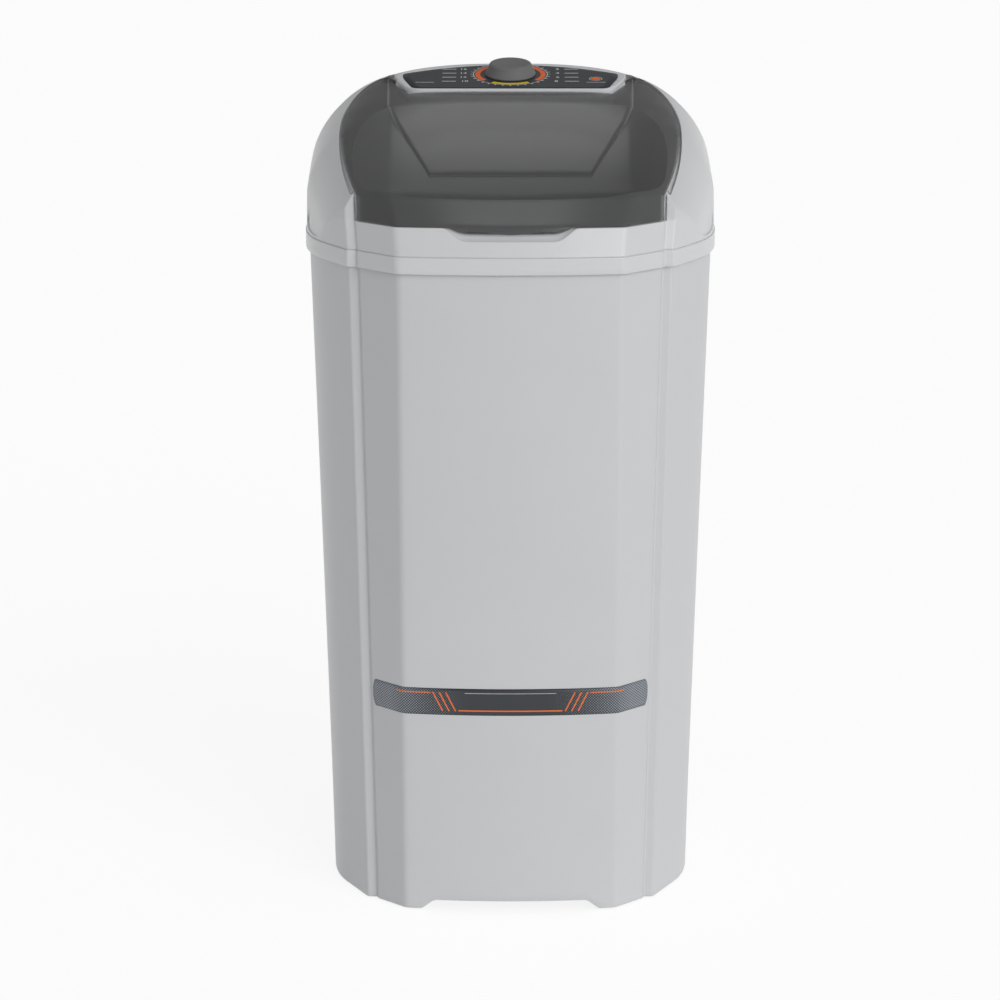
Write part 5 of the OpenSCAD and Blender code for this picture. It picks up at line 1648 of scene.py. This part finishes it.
@dataclass
class DialPanel:
    """The silver bezel, the printed film and the timer knob."""

    thick: float = 6.0
    rim: float = 10.0
    film: float = 0.6
    knob_y: float = 60.0
    knob_r: float = 33.0
    knob_top_r: float = 26.5
    knob_h: float = 15.0
    knob_gap: float = 0.8
    text_size: float = 0.0095
    text_thick: float = 0.00003
    marks: tuple[tuple[float, float], ...] = (
        (61, 83), (61, 65), (61, 47), (59, 29), (-59, 29), (-61, 47), (-61, 65), (-61, 83)
    )

    def tray(self) -> bpy.types.Object:
        """The bezel, rounded at its outer and inner edge.

        Returns:
            The piece.
        """
        steps = [(0, -self.thick), (0, -1.6), (0.25, -0.7), (0.8, -0.2), (1.8, 0), (self.rim - 1.2, 0)]
        steps += [(self.rim - 0.5, -0.15), (self.rim - 0.3, -self.film), (self.rim + 6, -self.film)]
        steps += [(self.rim + 6, -self.thick)]
        tray = grid("bezel_tray", np.stack([lift(bezel_line(inset), z) for inset, z in steps]))
        tray.data.transform(panel_frame())
        clean(tray.data, angle=45.0)
        return tray

    def overlay(self) -> bpy.types.Object:
        """The film that lies in the bezel, open under the knob.

        Returns:
            The piece.
        """
        line, hub = bezel_line(self.rim - 0.25), np.array([0.0, self.knob_y])
        rows = [lift(lerp(line, hub, t * 0.84), -0.02) for t in np.linspace(0, 1, 12)]
        film = grid("panel_film", np.stack(rows), close=False)
        film.data.transform(panel_frame())
        clean(film.data)
        thicken(film, 0.00045, 0.0)
        bake(film)
        return film

    def numbers(self) -> bpy.types.Object:
        """Plain minutes beside the dial, laid on the film.

        Returns:
            The piece.
        """
        joined = bmesh.new()
        for value, (x, y) in enumerate(self.marks):
            curve = bpy.data.curves.new("minutes", "FONT")
            curve.body, curve.size = str(2 * value + 2), self.text_size
            curve.align_x, curve.align_y = "CENTER", "CENTER"
            curve.extrude, curve.resolution_u = self.text_thick, 4
            text = add_object("minutes", curve)
            made = final_mesh(text)
            made.transform(panel_frame(y, 0.22) @ Matrix.Translation((x * MM, 0, 0)))
            joined.from_mesh(made)
            bpy.data.objects.remove(text)
        mesh = bpy.data.meshes.new("panel_numbers")
        joined.to_mesh(mesh)
        joined.free()
        return add_object("panel_numbers", mesh)

    def knob(self) -> bpy.types.Object:
        """The knob: a tapered skirt and a dished top.

        Returns:
            The piece.
        """
        r, top, h = self.knob_r, self.knob_top_r, self.knob_h
        under = [[0.01, 3], [r - 5, 3], [r - 4, -0.6], [r - 1, -0.6]]
        skirt = [[r, 0.9], [r - 0.9, 2.7], [top + 1.6, h - 4.5], [top + 0.5, h - 1.2]]
        dish = [[top - 2.2, h], [top - 6, h - 0.7], [top - 14, h - 1.7], [0.01, h - 2]]
        line = soften(np.array(under + skirt + dish), [0, 0, 0, 1, 1, 2, 2, 1.6, 2, 3, 4, 0])
        return lathe("dial_knob", line, panel_frame(self.knob_y, self.knob_gap))

    def build(self) -> None:
        """Builds and dresses the panel's pieces."""
        dress(self.tray(), "frame", "bezel_silver", ["panel_bezel"])
        dress(self.overlay(), "frame", "overlay_film", ["panel_overlay"])
        dress(self.numbers(), "frame", "overlay_film", finish=FINISHES["panel_ink"])
        dress(self.knob(), "timer", "knob_plastic", ["timer_knob"])


@dataclass
class Works:
    """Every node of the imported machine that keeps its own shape."""

    record: dict[str, Any] = field(default_factory=lambda: frame["record"])
    pale: tuple[str, ...] = ("lid_bumpers",)

    def build(self) -> None:
        """Gives each node the finish of its slot."""
        for part in self.record["subparts"]:
            node = frame["nodes"][part["node"]]
            slot = "cover_plastic" if part["node"] in self.pale else part["material_slot"]
            material = FINISHES[slot].material()
            for place in range(len(node.data.materials)):
                node.data.materials[place] = material
            LOG.info("%s: %s", part["node"], material.name)


@dataclass
class Studio:
    """Floor, light and camera."""

    floor_half: float = 30.0
    eye: Point = (0.0, -4.010, 1.4122)
    pitch: float = 76.82
    lens: float = 115.3
    shift: float = -0.0104
    low_sky: float = 0.72
    high_sky: float = 0.38
    dusk: float = 0.34
    boxes: tuple[tuple[float, float, float, float], ...] = ((41, 3, 9, 1.5), (105, 5, 9, 2.2))
    sun: float = 1.55
    sun_from: Point = (0.55, -0.76, 0.36)
    sun_width: float = 50.0
    glow: float = 0.80
    floor_tone: Colour = (0.93, 0.93, 0.93)
    floor_light: float = 1.08

    def floor(self) -> None:
        """A wide pale floor that keeps the machine's shadow."""
        spread = np.linspace(-self.floor_half, self.floor_half, 9) / MM
        x, y = np.meshgrid(spread, spread)
        rows = np.stack([x, y, np.zeros_like(x)], axis=2)
        floor = grid("studio_floor", rows, wrap=False, close=False)
        if floor.data.polygons[0].normal.z < 0:
            floor.data.flip_normals()
        material = bpy.data.materials.new("studio_floor_look")
        graph = Graph(material)
        cloud = graph.noise(0.4)
        inputs = {"Base Color": graph.shift(self.floor_tone, cloud, 0.002), "Roughness": 0.9}
        plain = graph.add("ShaderNodeBsdfPrincipled", {}, inputs)
        white = graph.add("ShaderNodeEmission", {}, {"Strength": self.floor_light})
        both = graph.blend(graph.seen() * self.glow, plain, white)
        graph.add("ShaderNodeOutputMaterial", {}, {"Surface": both})
        floor.data.materials.append(material)

    def world(self) -> None:
        """Soft light from all round, and the backdrop that the camera and gloss see."""
        world = bpy.data.worlds.new("studio_world")
        graph = Graph(world)
        way = graph.add("ShaderNodeTexCoord", {}, {}, "Generated")
        y = graph.add("ShaderNodeSeparateXYZ", {}, {0: way}, "Y")
        z = y.other("Z")
        low, high, white, dusk = (
            graph.add("ShaderNodeBackground", {}, {"Strength": strength})
            for strength in (self.low_sky, self.high_sky, 1.0, self.dusk)
        )
        light = graph.blend(z.ramp(0.0, 1.0), low, high)
        backdrop = graph.blend(z.ramp(0.02, 0.42), white, dusk)
        for height, inner, outer, strength in self.boxes:
            up = math.radians(height)
            near = y * math.cos(up) + z * math.sin(up)
            share = near.ramp(math.cos(math.radians(outer)), math.cos(math.radians(inner)))
            box = graph.add("ShaderNodeBackground", {}, {"Strength": strength})
            backdrop = graph.blend(share, backdrop, box)
        both = graph.blend(graph.seen(), light, backdrop)
        graph.add("ShaderNodeOutputWorld", {}, {"Surface": both})
        bpy.context.scene.world = world

    def lamp(self, name: str, towards: Point, strength: float, spread: float) -> None:
        """A far soft lamp.

        Args:
            name: The lamp's name.
            towards: Where the light comes from.
            strength: Its strength.
            spread: Its width in degrees.
        """
        data = bpy.data.lights.new(name, "SUN")
        data.energy, data.angle = strength, math.radians(spread)
        lamp = add_object(name, data)
        lamp.rotation_euler = Vector(towards).to_track_quat("Z", "Y").to_euler()

    def camera(self) -> None:
        """The camera at the photograph's angle."""
        data = bpy.data.cameras.new("studio_camera")
        data.lens, data.sensor_width, data.shift_x = self.lens, 36.0, self.shift
        data.clip_end = 100.0
        camera = add_object("studio_camera", data)
        camera.location = self.eye
        camera.rotation_euler = (math.radians(self.pitch), 0, 0)
        bpy.context.scene.camera = camera

    def build(self) -> None:
        """Sets up the studio."""
        self.floor()
        self.world()
        self.lamp("key", self.sun_from, self.sun, self.sun_width)
        self.camera()
        bpy.context.scene.view_settings.view_transform = "Standard"


def main() -> None:
    """Builds the studio and the machine's sub-assemblies in order."""
    logging.basicConfig(level=logging.INFO, format="%(message)s")
    for part in (Studio(), Works(), Cabinet(), TopCover(), Lid(), DialPanel()):
        part.build()
        LOG.info("%s ready", type(part).__name__)


if __name__ == "__main__":
    main()
